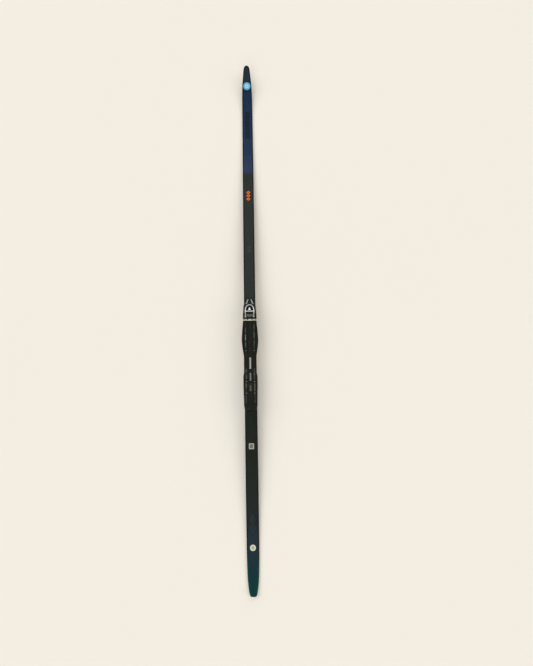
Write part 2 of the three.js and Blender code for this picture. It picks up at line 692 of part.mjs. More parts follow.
function leverPocket() {
  const depth = 20; // up through the top of the housing
  return new THREE.ExtrudeGeometry(leverShape(LEVER_POCKET_GAP), {
    depth,
    bevelEnabled: false,
    curveSegments: LEVER_CURVE_STEPS,
  })
    .translate(0, 0, -LEVER_THICKNESS / 2 - LEVER_POCKET_DROP)
    .rotateX(-LEVER_SLOPE)
    .translate(0, LEVER_PIVOT.y, LEVER_PIVOT.z);
}

function toeHousing() {
  const stations = [...HOUSING_SECTIONS].reverse();
  const body = loftAlongY(stations.map(({ y }) => y), (y) => {
    const s = stations.find((section) => section.y === y);
    return [
      [-s.bottom + 1, CARRIAGE_BOTTOM_Z], [s.bottom - 1, CARRIAGE_BOTTOM_Z],
      [s.bottom, CARRIAGE_BOTTOM_Z + 1], [s.shoulder, s.shoulderZ], [s.top, s.topZ],
      [-s.top, s.topZ], [-s.shoulder, s.shoulderZ], [-s.bottom, CARRIAGE_BOTTOM_Z + 1],
    ];
  });
  const apron = block(
    [-APRON.halfWidth, APRON.halfWidth],
    [HOUSING_REAR_Y, APRON.frontY],
    [CARRIAGE_BOTTOM_Z, RECESS_FLOOR_Z],
  );
  const recess = block(
    [-RECESS.halfWidth, RECESS.halfWidth],
    [HOUSING_REAR_Y - OVERCUT, RECESS.front],
    [RECESS_FLOOR_Z, ABOVE_ALL_Z],
  );
  const slider = block(
    [-JAW_PLATE.halfWidth - JAW_CHANNEL_GAP, JAW_PLATE.halfWidth + JAW_CHANNEL_GAP],
    [RECESS.front - JOIN_OVERLAP, JAW_PLATE.y[1] + JAW_TRAVEL + 1],
    [RECESS_FLOOR_Z, JAW_PLATE.z[1] + JAW_CHANNEL_GAP],
  );
  const { radius, length } = SPRING_CHAMBER;
  const springChamber = new THREE.CylinderGeometry(radius, radius, length, 12)
    .translate(0, JAW_SPRING.y[1] + FIT_GAP - length / 2, JAW_SPRING.z);
  const tongueSocket = block(
    [-FLEXOR_TONGUE.halfWidth - FIT_GAP, FLEXOR_TONGUE.halfWidth + FIT_GAP],
    [RECESS.front - JOIN_OVERLAP, FLEXOR_TONGUE.front + FIT_GAP],
    [FLEXOR_TONGUE.z[0] - FIT_GAP, ABOVE_ALL_Z],
  );
  const pinBore = rodAlongX(PIN_RADIUS + RUNNING_GAP, ACROSS_ALL, LEVER_PIVOT.y, LEVER_PIVOT.z);
  const seatHoles = [-SEAT_SCREW.x, SEAT_SCREW.x].map(
    (x) => screwHole(SEAT_SCREW, BAR_SEAT.z[1]).translate(x, 0, 0),
  );
  return cut(
    join(body, apron), recess, leverPocket(), slider, springChamber, tongueSocket, pinBore,
    railSlot(), ...seatHoles, ...tongues(HOUSING_REAR_Y, 1, FIT_GAP),
  );
}

const plateHalfWidth = smoothCurve(PLATE_OUTLINE);
const ridgeHeight = brokenLine(RIDGE_HEIGHTS);

// The common cross section of the plates behind the boot bar, with its two ridges.
function plateSection(y) {
  const w = plateHalfWidth(y);
  const { bottomInset, lowZ, highZ, topInset } = PLATE_SIDE;
  const ridgeZ = FLOOR_Z + ridgeHeight(y);
  const foot = Math.min(RIDGE.foot[1], w - topInset - 0.2);
  const crest = Math.min(RIDGE.crest[1], foot - 0.8);
  const right = [
    [w - bottomInset, CARRIAGE_BOTTOM_Z], [w, lowZ], [w, highZ], [w - topInset, FLOOR_Z],
    [foot, FLOOR_Z], [crest, ridgeZ], [RIDGE.crest[0], ridgeZ], [RIDGE.foot[0], FLOOR_Z],
  ];
  const left = right.map(([x, z]) => [-x, z]).reverse();
  return [...right, ...left];
}

function latchRod(radius, halfLength) {
  return rodAlongX(radius, [-halfLength, halfLength], LATCH_PIVOT.y, LATCH_PIVOT.z, 12);
}

function latchWindow() {
  const { halfWidth, y, sillY, sillZ } = LATCH_WINDOW;
  const across = [-halfWidth, halfWidth];
  return [
    block(across, [y[0], sillY], [CARRIAGE_BOTTOM_Z - OVERCUT, ABOVE_ALL_Z]),
    block(across, [sillY - JOIN_OVERLAP, y[1]], [sillZ, ABOVE_ALL_Z]),
    latchRod(LATCH_PIN.radius + RUNNING_GAP, LATCH_PIN.halfLength + 1),
  ];
}

function carriagePlate({ name, y: [rear, front], stations }) {
  const blank = loftAlongY([rear, ...stations, front], plateSection);
  const isLast = name === 'heel_cap';
  const body = join(blank, ...tongues(front, 1));
  const sockets = isLast ? [] : tongues(rear, 1, FIT_GAP);
  const window = name === 'shift_block' ? latchWindow() : [];
  return cut(body, railSlot(), ...sockets, ...window);
}

function barSeat() {
  const plate = block([-BAR_SEAT.halfWidth, BAR_SEAT.halfWidth], BAR_SEAT.y, BAR_SEAT.z);
  const holes = [-SEAT_SCREW.x, SEAT_SCREW.x].map(
    (x) => screwHole(SEAT_SCREW, BAR_SEAT.z[1]).translate(x, 0, 0),
  );
  return cut(plate, ...holes);
}

function flexor() {
  const { halfWidth, y, z } = FLEXOR;
  const slots = [-JAW_HOOK.x, JAW_HOOK.x].map((x) => block(
    [x - FLEXOR_SLOT.width / 2, x + FLEXOR_SLOT.width / 2],
    [y[0] - OVERCUT, FLEXOR_SLOT.front],
    [z[0] - OVERCUT, FLEXOR_SLOT.top],
  ));
  const tongue = block(
    [-FLEXOR_TONGUE.halfWidth, FLEXOR_TONGUE.halfWidth],
    [y[1] - JOIN_OVERLAP, FLEXOR_TONGUE.front],
    FLEXOR_TONGUE.z,
  );
  const profile = [
    [y[0], z[0]], [y[1], z[0]],
    [y[1], z[1] - FLEXOR_FRONT_BEVEL.height], [y[1] - FLEXOR_FRONT_BEVEL.length, z[1]],
    [y[0] + FLEXOR_REAR_BEVEL.length, z[1]], [y[0], z[1] - FLEXOR_REAR_BEVEL.height],
  ];
  return cut(join(extrudeAcross(profile, [-halfWidth, halfWidth]), tongue), ...slots);
}

const HELIX_STEPS_PER_TURN = 10;

function helix({ y: [y0, y1], coilRadius, wireRadius, turns }) {
  const steps = turns * HELIX_STEPS_PER_TURN;
  const inset = wireRadius;
  const points = Array.from({ length: steps + 1 }, (_, i) => {
    const angle = (i / steps) * turns * Math.PI * 2;
    const y = THREE.MathUtils.lerp(y0 + inset, y1 - inset, i / steps);
    return new THREE.Vector3(coilRadius * Math.cos(angle), y, coilRadius * Math.sin(angle));
  });
  const wire = new THREE.Shape().absarc(0, 0, wireRadius, 0, Math.PI * 2);
  return new THREE.ExtrudeGeometry(wire, {
    steps,
    curveSegments: 3,
    extrudePath: new THREE.CatmullRomCurve3(points),
    bevelEnabled: false,
  });
}

function jawSpring() {
  return helix(JAW_SPRING).translate(0, 0, JAW_SPRING.z);
}

// A flat foot that rises to a bent-up end.
function latchSpring() {
  const { halfWidth, thickness, y, foot, risesTo } = LATCH_SPRING;
  const sill = LATCH_WINDOW.sillZ + RUNNING_GAP;
  const outline = [
    [y[0], sill], [y[0] + foot, sill], [y[1], risesTo], [y[1], risesTo + thickness],
    [y[0] + foot - RUNNING_GAP, sill + thickness], [y[0], sill + thickness],
  ];
  return extrudeAcross(outline, [-halfWidth, halfWidth]);
}

function slidingPieces() {
  const group = new THREE.Group();
  group.add(piece('toe_housing', toeHousing(), glossy(COLOURS.housing)));
  CARRIAGE_PLATES.forEach((plate) => {
    group.add(piece(plate.name, carriagePlate(plate), moulded(COLOURS.footPlate)));
  });
  const latchPin = latchRod(LATCH_PIN.radius, LATCH_PIN.halfLength);
  group.add(
    piece('bar_seat', barSeat(), metal(COLOURS.steel)),
    piece('flexor', flexor(), soft(COLOURS.rubber)),
    piece('jaw_spring', jawSpring(), metal(COLOURS.springSteel)),
    piece('latch_pin', latchPin, metal(COLOURS.steel)),
    piece('latch_spring', latchSpring(), metal(COLOURS.springSteel)),
  );
  [['left', -1], ['right', 1]].forEach(([side, sign]) => {
    const shape = countersunkScrew(SEAT_SCREW, BAR_SEAT.z[1]);
    const screw = piece(`seat_screw_${side}`, shape, metal(COLOURS.steel));
    screw.position.x = sign * SEAT_SCREW.x;
    const pin = rodAlongX(PIN_RADIUS, mirrored(LEVER_PIN_X, sign), LEVER_PIVOT.y, LEVER_PIVOT.z);
    group.add(screw, piece(`lever_pin_${side}`, pin, metal(COLOURS.steel)));
  });
  return group;
}

// ---------------------------------------------------------------- the moving pieces of the binding

// Drawn about the lever's pivot, lying flat.
function leverFrame() {
  const { rearY, rearHalf, wideY, wideHalf, frontY, bar } = LEVER;
  const outline = leverShape(0);
  const inner = wideHalf - bar;
  const armInside = rearHalf - bar + LEVER_ARM_INNER_FLARE;
  outline.lineTo(-armInside, rearY);
  outline.lineTo(-inner, CROSSBAR[0]);
  outline.lineTo(inner, CROSSBAR[0]);
  outline.lineTo(armInside, rearY);
  outline.holes.push(padShape(0));
  const half = LEVER_THICKNESS / 2;
  const loop = new THREE.ExtrudeGeometry(outline, {
    depth: LEVER_THICKNESS,
    bevelEnabled: false,
    curveSegments: LEVER_CURVE_STEPS,
  }).translate(0, 0, -half);
  const { halfLength, reach } = LEVER_CAM;
  const arms = [-1, 1].flatMap((sign) => {
    const span = mirrored(LEVER_ARM_X, sign);
    return [
      rodAlongX(LEVER_BOSS_RADIUS, span, 0, 0),
      block(span, [-halfLength, halfLength], [-reach, 0]),
    ];
  });
  const bore = rodAlongX(PIN_RADIUS + RUNNING_GAP, ACROSS_ALL, 0, 0);
  return cut(join(loop, ...arms), bore);
}

// The window in front of the crossbar, drawn smaller by the given gap.
function padShape(gap) {
  const wide = LEVER.wideHalf - LEVER.bar - gap;
  const rear = CROSSBAR[1] + gap;
  const front = LEVER.frontY - LEVER.bar - gap;
  const bulgeY = rear + PAD_BULGE.forwards;
  const bulgeX = wide * PAD_BULGE.share;
  const shape = new THREE.Shape();
  shape.moveTo(wide, rear);
  shape.bezierCurveTo(wide, bulgeY, bulgeX, front, 0, front);
  shape.bezierCurveTo(-bulgeX, front, -wide, bulgeY, -wide, rear);
  shape.closePath();
  return shape;
}

function leverPad() {
  const plate = new THREE.ExtrudeGeometry(padShape(FIT_GAP), {
    depth: PAD_THICKNESS,
    bevelEnabled: false,
    curveSegments: LEVER_CURVE_STEPS,
  }).translate(0, 0, -LEVER_THICKNESS / 2 + PAD_LIFT);
  const top = -LEVER_THICKNESS / 2 + PAD_LIFT + PAD_THICKNESS;
  const { y, radius, floorRadius, depth } = PAD_DIMPLE;
  const dimple = new THREE.CylinderGeometry(radius, floorRadius, depth, 14)
    .rotateX(Math.PI / 2)
    .translate(0, y, top - depth / 2 + RUNNING_GAP);
  return cut(plate, dimple);
}

function jawPiece() {
  const { halfWidth, y, z } = JAW_PLATE;
  const plate = block([-halfWidth, halfWidth], y, z);
  const hooks = [-JAW_HOOK.x, JAW_HOOK.x].map(
    (x) => extrudeAcross(JAW_HOOK_OUTLINE, [x - JAW_HOOK.width / 2, x + JAW_HOOK.width / 2]),
  );
  const ears = [-1, 1].flatMap((sign) => [
    block(mirrored([JAW_EAR.rootX, JAW_EAR.x[1]], sign), JAW_EAR.y, z),
    block(mirrored(JAW_EAR.x, sign), JAW_EAR.y, [z[0], JAW_EAR.top]),
  ]);
  return join(plate, ...hooks, ...ears);
}

// Drawn about the latch's pivot.
function shiftLatch() {
  const [rear, front] = LATCH.y.map((y) => y - LATCH_PIVOT.y);
  const [low, high] = LATCH.z.map((z) => z - LATCH_PIVOT.z);
  const noseLow = LATCH_NOSE.bottomZ - LATCH_PIVOT.z;
  const noseRear = front - LATCH_NOSE.length;
  const toothY = LATCH_TOOTH.y - LATCH_PIVOT.y;
  const toothHalf = LATCH_TOOTH.width / 2;
  const tab = extrudeAcross([
    [rear, low], [noseRear, low], [noseRear, noseLow], [front, noseLow], [front, high],
    [rear + LATCH_LIP.length, high],
    [rear + LATCH_LIP.length - LATCH_LIP.slope, high + LATCH_LIP.height],
    [rear, high + LATCH_LIP.height],
  ], [-LATCH.halfWidth, LATCH.halfWidth]);
  const tooth = block(
    [-LATCH_TOOTH.halfWidth, LATCH_TOOTH.halfWidth],
    [toothY - toothHalf, toothY + toothHalf],
    [LATCH_TOOTH.tipZ - LATCH_PIVOT.z, low + JOIN_OVERLAP],
  );
  const bore = rodAlongX(LATCH_PIN.radius + RUNNING_GAP, ACROSS_ALL, 0, 0, 12);
  return cut(join(tab, tooth), bore);
}

function movingPieces() {
  const group = new THREE.Group();
  const lever = new THREE.Group();
  lever.position.set(0, LEVER_PIVOT.y, LEVER_PIVOT.z);
  lever.rotation.x = -LEVER_SLOPE;
  lever.add(
    piece('lever_frame', leverFrame(), metal(COLOURS.silver)),
    piece('lever_pad', leverPad(), glossy(COLOURS.housing)),
  );
  const latch = piece('shift_latch', shiftLatch(), moulded(COLOURS.footPlate));
  latch.position.set(0, LATCH_PIVOT.y, LATCH_PIVOT.z);
  group.add(lever, latch, piece('jaw', jawPiece(), metal(COLOURS.steel)));
  return group;
}

// ---------------------------------------------------------------- the whole ski

const binding = new THREE.Group();
binding.position.y = BAR_Y;
binding.add(slidingPieces(), movingPieces());

const crossCountrySki = new THREE.Group();
crossCountrySki.name = 'cross_country_ski';
crossCountrySki.add(ski(), binding);

export default crossCountrySki;
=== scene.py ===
"""A classic cross country ski with a sliding toe binding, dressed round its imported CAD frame.

Metres. X is across the ski, Y runs from the tail to the tip, Z is up.
"""

import bisect
import json
import math

import bmesh
import bpy
from mathutils import Matrix, Vector
from mathutils.bvhtree import BVHTree


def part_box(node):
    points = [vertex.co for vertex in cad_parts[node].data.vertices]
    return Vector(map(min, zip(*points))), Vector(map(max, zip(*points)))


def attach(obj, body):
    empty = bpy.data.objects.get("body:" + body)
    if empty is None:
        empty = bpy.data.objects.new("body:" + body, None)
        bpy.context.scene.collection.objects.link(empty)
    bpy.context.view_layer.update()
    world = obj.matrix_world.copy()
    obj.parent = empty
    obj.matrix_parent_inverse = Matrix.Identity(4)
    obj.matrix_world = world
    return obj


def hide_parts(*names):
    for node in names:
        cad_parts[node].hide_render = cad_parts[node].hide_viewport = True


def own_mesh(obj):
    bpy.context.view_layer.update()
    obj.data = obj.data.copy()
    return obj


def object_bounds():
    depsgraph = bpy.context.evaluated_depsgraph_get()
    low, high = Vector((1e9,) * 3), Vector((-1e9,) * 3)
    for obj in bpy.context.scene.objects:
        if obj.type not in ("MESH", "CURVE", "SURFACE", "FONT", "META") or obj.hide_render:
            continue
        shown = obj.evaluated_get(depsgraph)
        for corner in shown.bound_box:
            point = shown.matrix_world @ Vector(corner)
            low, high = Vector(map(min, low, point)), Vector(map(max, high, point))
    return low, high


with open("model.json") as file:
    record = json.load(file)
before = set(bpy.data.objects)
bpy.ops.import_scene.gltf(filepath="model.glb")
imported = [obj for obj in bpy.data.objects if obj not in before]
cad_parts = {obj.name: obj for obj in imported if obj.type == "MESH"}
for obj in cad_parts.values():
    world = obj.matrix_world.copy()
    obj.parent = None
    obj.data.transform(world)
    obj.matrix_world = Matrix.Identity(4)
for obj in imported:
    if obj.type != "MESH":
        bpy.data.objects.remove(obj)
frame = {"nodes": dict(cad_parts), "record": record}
cad_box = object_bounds()

MM = 0.001
TAIL_Y, TIP_Y = cad_box[0].y, cad_box[1].y
RECORD = frame["record"]
BODY_OF = {node: body for body, nodes in RECORD["behaviour"]["bodies"].items() for node in nodes}
SLOT_OF = {part["node"]: part["material_slot"] for part in RECORD["subparts"]}


# -------- colour and shader graphs

def rgb(code):
    """A linear colour from a six-digit sRGB code."""
    parts = [int(code[i:i + 2], 16) / 255 for i in (0, 2, 4)]
    linear = [c / 12.92 if c <= 0.04045 else ((c + 0.055) / 1.055) ** 2.4 for c in parts]
    return (*linear, 1.0)


class Graph:
    """The nodes of one material. Its methods return output sockets, and take sockets or plain values."""

    def __init__(self, name, roughness=0.5, metallic=0.0, coat=0.0, sheen=0.0, specular=0.5):
        self.material = bpy.data.materials.new(name)
        self.material.use_nodes = True
        tree = self.material.node_tree
        self.nodes = tree.nodes
        self.links = tree.links
        self.shader = self.nodes["Principled BSDF"]
        self.set("Roughness", roughness)
        self.set("Metallic", metallic)
        self.set("Coat Weight", coat)
        self.set("Coat Roughness", 0.12)
        self.set("Sheen Weight", sheen)
        self.set("Specular IOR Level", specular)
        self.place = self.nodes.new("ShaderNodeTexCoord").outputs["Object"]
        split = self.add("ShaderNodeSeparateXYZ", [self.place])
        self.x, self.y, self.z = split.outputs
        self.side = self.calc("ABSOLUTE", self.x)

    def set(self, socket, value):
        self.feed(self.shader.inputs[socket], value)

    def feed(self, socket, value):
        """Gives a socket its value: an output socket, a plain value or a colour code."""
        if isinstance(value, bpy.types.NodeSocket):
            self.links.new(value, socket)
        else:
            socket.default_value = rgb(value) if isinstance(value, str) else value

    def add(self, kind, inputs=(), **settings):
        node = self.nodes.new(kind)
        for key, value in settings.items():
            setattr(node, key, value)
        for socket, value in zip(node.inputs, inputs):
            if value is not None:
                self.feed(socket, value)
        return node

    def calc(self, operation, *values):
        return self.add("ShaderNodeMath", values, operation=operation).outputs[0]

    def multiply(self, *values):
        product = values[0]
        for value in values[1:]:
            product = self.calc("MULTIPLY", product, value)
        return product

    def distance(self, first, second):
        return self.calc("ABSOLUTE", self.calc("SUBTRACT", first, second))

    def inside(self, value, low, high):
        """1 where the value lies between low and high, and 0 elsewhere."""
        return self.multiply(self.calc("GREATER_THAN", value, low), self.calc("LESS_THAN", value, high))

    def fade(self, value, start, end):
        """0 before start, 1 after end, and smooth between them."""
        node = self.add("ShaderNodeMapRange", [value, start, end, 0.0, 1.0], interpolation_type="SMOOTHSTEP")
        return node.outputs[0]

    def stripes(self, value, pitch, share):
        """1 over the given share of every pitch along the value."""
        phase = self.calc("FRACT", self.calc("DIVIDE", value, pitch))
        return self.calc("LESS_THAN", phase, share)

    def noise(self, scale, detail, stretch=(1.0, 1.0, 1.0)):
        """Noise from 0 to 1 in cells of about 1 / scale metres, longer along an axis stretched below 1."""
        place = self.add("ShaderNodeMapping", [self.place, None, None, stretch]).outputs[0]
        return self.add("ShaderNodeTexNoise", [place, None, scale, detail]).outputs[0]

    def mix(self, share, first, second):
        node = self.nodes.new("ShaderNodeMix")
        node.data_type = "RGBA"
        colours = [socket for socket in node.inputs if socket.type == "RGBA"]
        self.feed(node.inputs[0], share)
        self.feed(colours[0], first)
        self.feed(colours[1], second)
        return next(socket for socket in node.outputs if socket.type == "RGBA")

    def tint(self, colour, mask, share, code):
        """The colour, covered by a second one to the given share where the mask is 1."""
        return self.mix(self.multiply(mask, share), colour, code)

    def stain(self, colour, pattern, middle, spread, code):
        """The colour, mixed with a second one by a share that the pattern varies round its middle."""
        return self.mix(self.vary(pattern, middle, spread), colour, code)

    def ramp(self, value, stops):
        """A smooth run of colours through (position from 0 to 1, colour code) stops, at most 32 of them."""
        node = self.add("ShaderNodeValToRGB", [value])
        elements = node.color_ramp.elements
        while len(elements) < len(stops):
            elements.new(1.0)
        for element, (position, code) in zip(elements, stops):
            element.position = position
            element.color = rgb(code)
        return node.outputs[0]

    def attribute(self, name):
        return self.add("ShaderNodeAttribute", attribute_name=name).outputs["Fac"]

    def vary(self, value, middle, spread):
        """A number round the middle, pushed up or down by a value from 0 to 1."""
        return self.calc("MULTIPLY_ADD", value, spread, middle - spread / 2)

    def finish(self, colour, wear=None, relief=()):
        """Ends the material. Wear is its roughness as (pattern, middle, spread).

        Relief is a list of (height from 0 to 1, depth in millimetres) bumps, which add up."""
        if wear:
            self.set("Roughness", self.vary(*wear))
        normal = None
        for height, depth in relief:
            node = self.nodes.new("ShaderNodeBump")
            node.inputs["Distance"].default_value = depth * MM
            self.links.new(height, node.inputs["Height"])
            if normal is not None:
                self.links.new(normal, node.inputs["Normal"])
            normal = node.outputs[0]
        if normal is not None:
            self.set("Normal", normal)
        self.set("Base Color", colour)
        return self.material


# -------- the ski's lines, read from the frame

class Line:
    """A smooth curve through (position, value) points that never overshoots between them."""

    def __init__(self, points):
        self.at = [p for p, _ in points]
        self.value = [v for _, v in points]
        pairs = list(zip(points, points[1:]))
        slopes = [(b[1] - a[1]) / (b[0] - a[0]) for a, b in pairs]
        inner = [2 * a * b / (a + b) if a * b > 0 else 0.0 for a, b in zip(slopes, slopes[1:])]
        self.tangent = [slopes[0], *inner, slopes[-1]]

    def __call__(self, position):
        i = min(max(bisect.bisect_right(self.at, position) - 1, 0), len(self.at) - 2)
        span = self.at[i + 1] - self.at[i]
        t = min(max((position - self.at[i]) / span, 0.0), 1.0)
        bend = t * t * (3 - 2 * t)
        rise = span * t * (1 - t)
        start = self.value[i] * (1 - bend) + self.tangent[i] * rise * (1 - t)
        return start + self.value[i + 1] * bend - self.tangent[i + 1] * rise * t


OUTER_SHARE = 0.9
SAME_STATION = 0.05 * MM


def outer_stations(node, half_width=None):
    """The outer vertices of a lofted CAD layer, as (Y, [(|x|, z), ...]) in order of Y."""
    points = sorted((v.co.y, abs(v.co.x), v.co.z) for v in frame["nodes"][node].data.vertices)
    groups = []
    for y, x, z in points:
        if half_width and x < OUTER_SHARE * half_width(y):
            continue
        if groups and y - groups[-1][0] < SAME_STATION:
            groups[-1][1].append((x, z))
        else:
            groups.append((y, [(x, z)]))
    return groups


def line_of(groups, measure):
    return Line([(y, measure(corners)) for y, corners in groups])


def widest(corners):
    return max(x for x, _ in corners)


def lowest(corners):
    return min(z for _, z in corners)


def highest(corners):
    return max(z for _, z in corners)


def line_along(node, measure, pick, start):
    """A line through one value for each Y of a CAD node, picked from what its vertices measure.

    A vertex that measures None is left out."""
    found = {}
    for vertex in frame["nodes"][node].data.vertices:
        value = measure(vertex.co)
        if value is not None:
            place = round(vertex.co.y / SAME_STATION)
            found[place] = pick(found.get(place, start), value)
    return Line([(place * SAME_STATION, value) for place, value in sorted(found.items())])


half_width = line_of(outer_stations("lower_laminate"), widest)
top_z = line_of(outer_stations("top_sheet", half_width), highest)


def middle_of(node):
    low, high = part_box(node)
    return (low + high) / 2


def top_plane(node):
    """The middle and the upward normal of a CAD node's largest upper face."""
    mesh = frame["nodes"][node].data
    faces = [face for face in mesh.polygons if face.normal.z > 0.9]
    widest_face = max(faces, key=lambda face: face.area)
    return widest_face.center.copy(), widest_face.normal.copy()


# -------- mesh building

def add_object(name, data):
    found = bpy.data.objects.new(name, data)
    bpy.context.scene.collection.objects.link(found)
    return found


def make_object(name, mesh, material, smooth=True):
    piece = add_object(name, mesh)
    mesh.materials.clear()
    mesh.materials.append(material)
    mesh.polygons.foreach_set("use_smooth", [smooth] * len(mesh.polygons))
    return piece


def mesh_from(name, points, faces):
    mesh = bpy.data.meshes.new(name)
    mesh.from_pydata(points, [], faces)
    mesh.update()
    return mesh


CREASE_ANGLE = 32


def keep_creases(piece, angle=CREASE_ANGLE):
    """Smooth shading that stays sharp at edges over the given angle in degrees."""
    bm = bmesh.new()
    bm.from_mesh(piece.data)
    bmesh.ops.recalc_face_normals(bm, faces=bm.faces)
    limit = math.radians(angle)
    for edge in bm.edges:
        edge.smooth = len(edge.link_faces) == 2 and edge.calc_face_angle(0) < limit
    bm.to_mesh(piece.data)
    bm.free()


def stand_for(piece, node):
    """Puts a finished piece in the place of a CAD node, on its body."""
    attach(piece, BODY_OF[node])
    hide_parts(node)
    return piece


def lie_on(piece, node, slot):
    """Fixes a piece of trim, which stands for no CAD node, to the body of the node that it lies on."""
    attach(piece, BODY_OF[node])
    return piece


def loft(name, rings, material):
    """A closed skin over rings of equally many points, capped at both ends."""
    count = len(rings[0])
    points = [point for ring in rings for point in ring]
    faces = []
    for row in range(len(rings) - 1):
        for i in range(count):
            j = (i + 1) % count
            a = row * count
            faces.append((a + i, a + j, a + count + j, a + count + i))
    faces.append(tuple(reversed(range(count))))
    faces.append(tuple(range(len(points) - count, len(points))))
    piece = make_object(name, mesh_from(name, points, faces), material)
    keep_creases(piece)
    return piece


SHARP_ANGLE = 28
BEVEL_SEGMENTS = 3
SAME_PLANE = math.radians(0.6)
SAME_POINT = 0.002 * MM


def joined_copy(node, name, material):
    """A copy of a CAD node with its flat faces joined up."""
    mesh = frame["nodes"][node].data.copy()
    mesh.name = name
    bm = bmesh.new()
    bm.from_mesh(mesh)
    bmesh.ops.remove_doubles(bm, verts=bm.verts, dist=SAME_POINT)
    bmesh.ops.dissolve_limit(bm, angle_limit=SAME_PLANE, verts=bm.verts, edges=bm.edges)
    bm.to_mesh(mesh)
    bm.free()
    return make_object(name, mesh, material)


def keep_flat_faces_flat(piece):
    """Shades each corner by its largest faces, so that only the narrow faces between them look round."""
    shading = piece.modifiers.new("flat_faces_stay_flat", "WEIGHTED_NORMAL")
    shading.mode = "FACE_AREA"
    shading.weight = 90
    return shading


def rounded(node, name, material, width, segments=BEVEL_SEGMENTS):
    """A joined copy of a CAD node with its edges rounded, standing in its place.

    The overlap clamp narrows the rounding on the whole piece to what its tightest corner has room for."""
    piece = joined_copy(node, name, material)
    bevel = piece.modifiers.new("rounded_edges", "BEVEL")
    bevel.width = width
    bevel.segments = segments
    bevel.limit_method = "ANGLE"
    bevel.angle_limit = math.radians(SHARP_ANGLE)
    bevel.use_clamp_overlap = True
    keep_flat_faces_flat(piece)
    return stand_for(piece, node)


def creased(node, name, material):
    """A joined copy of a CAD node with crisp edges, for a shape with corners too tight to round."""
    piece = joined_copy(node, name, material)
    keep_creases(piece, SHARP_ANGLE)
    keep_flat_faces_flat(piece).keep_sharp = True
    return stand_for(piece, node)


# -------- the ski's materials

NAVY_START_Y = 0.542
# where painted shade of the upturned tip begins in the cover's colours
TIP_SHADE_START_Y = 0.978


def along(y):
    """The share of the ski's length at a place on it, from 0 at the tail to 1 at the tip."""
    return (y - TAIL_Y) / (TIP_Y - TAIL_Y)


TOP_COLOURS = [
    (-1.035, "00393b"), (-0.99, "003538"), (-0.955, "072e35"), (-0.915, "142e37"), (-0.853, "1e2d37"),
    (-0.81, "172224"), (-0.7, "191f18"), (-0.45, "181d14"), (-0.02, "2e3330"), (0.2, "2f3532"),
    (NAVY_START_Y - 0.001, "2b302c"), (NAVY_START_Y + 0.001, "2e3d5e"), (0.6, "293958"), (0.64, "1c3350"),
    # the dark grey stops from here to the tip are painted shade where the tip bends up
    (0.85, "162e4c"), (TIP_SHADE_START_Y - 0.03, "132a47"), (TIP_SHADE_START_Y, "213243"), (1.035, "1b272e"),
]
SHOULDER_WIDTH = 4.6 * MM
EDGE_DISTANCE = "edge_distance"
# printed marks: their ends along the ski, their half widths across it, and their cells or bars
ORANGE_MARK = {"start": 0.411, "end": 0.457, "half": 8.2 * MM, "count": 3}
DARK_MARK = {"start": 0.716, "end": 0.85, "half": 9.6 * MM, "count": 9}
TAIL_MOTIF = {"start": -0.838, "end": -0.782, "half": 9 * MM, "count": 2}
TAIL_TICKS = {"start": -0.594, "end": -0.574, "half": 6 * MM, "pitch": 4.8 * MM, "share": 0.5}
FRONT_TICKS = {"start": 0.178, "end": 0.205, "half": 7 * MM, "pitch": 9 * MM, "share": 0.45}
DOT_REACH = 0.2
CHEVRON_SLANT = 0.7

# where the cover darkens: in a ring round the badge, and in painted shade at the upturned nose and towards
# the side edges
HALO_OUTER, HALO_INNER = 26 * MM, 20 * MM
SHADED_NOSE_START, SHADED_NOSE_FULL = TIP_Y - 11 * MM, TIP_Y - 4 * MM
SHADED_EDGE_START, SHADED_EDGE_FULL = SHOULDER_WIDTH * 1.35, SHOULDER_WIDTH * 0.75
TEAL_EDGE_START, TEAL_EDGE_FULL = -0.89, -0.96

THREAD_PITCH = 2.4 * MM
CORE_STRIP_PITCH = 8.5 * MM
RING_REACH = 20 * MM
LABEL_FRAME = 3.4 * MM


def diamonds(g, mark, line_share):
    """Outlined diamonds in a row between the mark's ends, with a dot inside each."""
    pitch = (mark["end"] - mark["start"]) / mark["count"]
    phase = g.calc("FRACT", g.calc("DIVIDE", g.calc("SUBTRACT", g.y, mark["start"]), pitch))
    lengthways = g.calc("ABSOLUTE", g.calc("MULTIPLY_ADD", phase, 2.0, -1.0))
    crossways = g.calc("DIVIDE", g.side, mark["half"])
    reach = g.calc("ADD", lengthways, crossways)
    outline = g.inside(reach, 1.0 - line_share, 1.0)
    dot = g.calc("LESS_THAN", reach, DOT_REACH)
    return g.multiply(g.calc("MAXIMUM", outline, dot), g.inside(g.y, mark["start"], mark["end"]))


def chevrons(g, mark, share):
    """Arrowheads in a row that point to the tip."""
    pitch = (mark["end"] - mark["start"]) / mark["count"]
    slanted = g.calc("MULTIPLY_ADD", g.side, CHEVRON_SLANT, g.y)
    stripes = g.stripes(g.calc("SUBTRACT", slanted, mark["start"]), pitch, share)
    ends = g.inside(slanted, mark["start"], mark["end"])
    return g.multiply(stripes, g.multiply(ends, g.calc("LESS_THAN", g.side, mark["half"])))


def ticks(g, mark):
    """Short bars across the ski, one behind the other."""
    bars = g.stripes(g.y, mark["pitch"], mark["share"])
    width = g.calc("LESS_THAN", g.side, mark["half"])
    return g.multiply(bars, g.inside(g.y, mark["start"], mark["end"]), width)


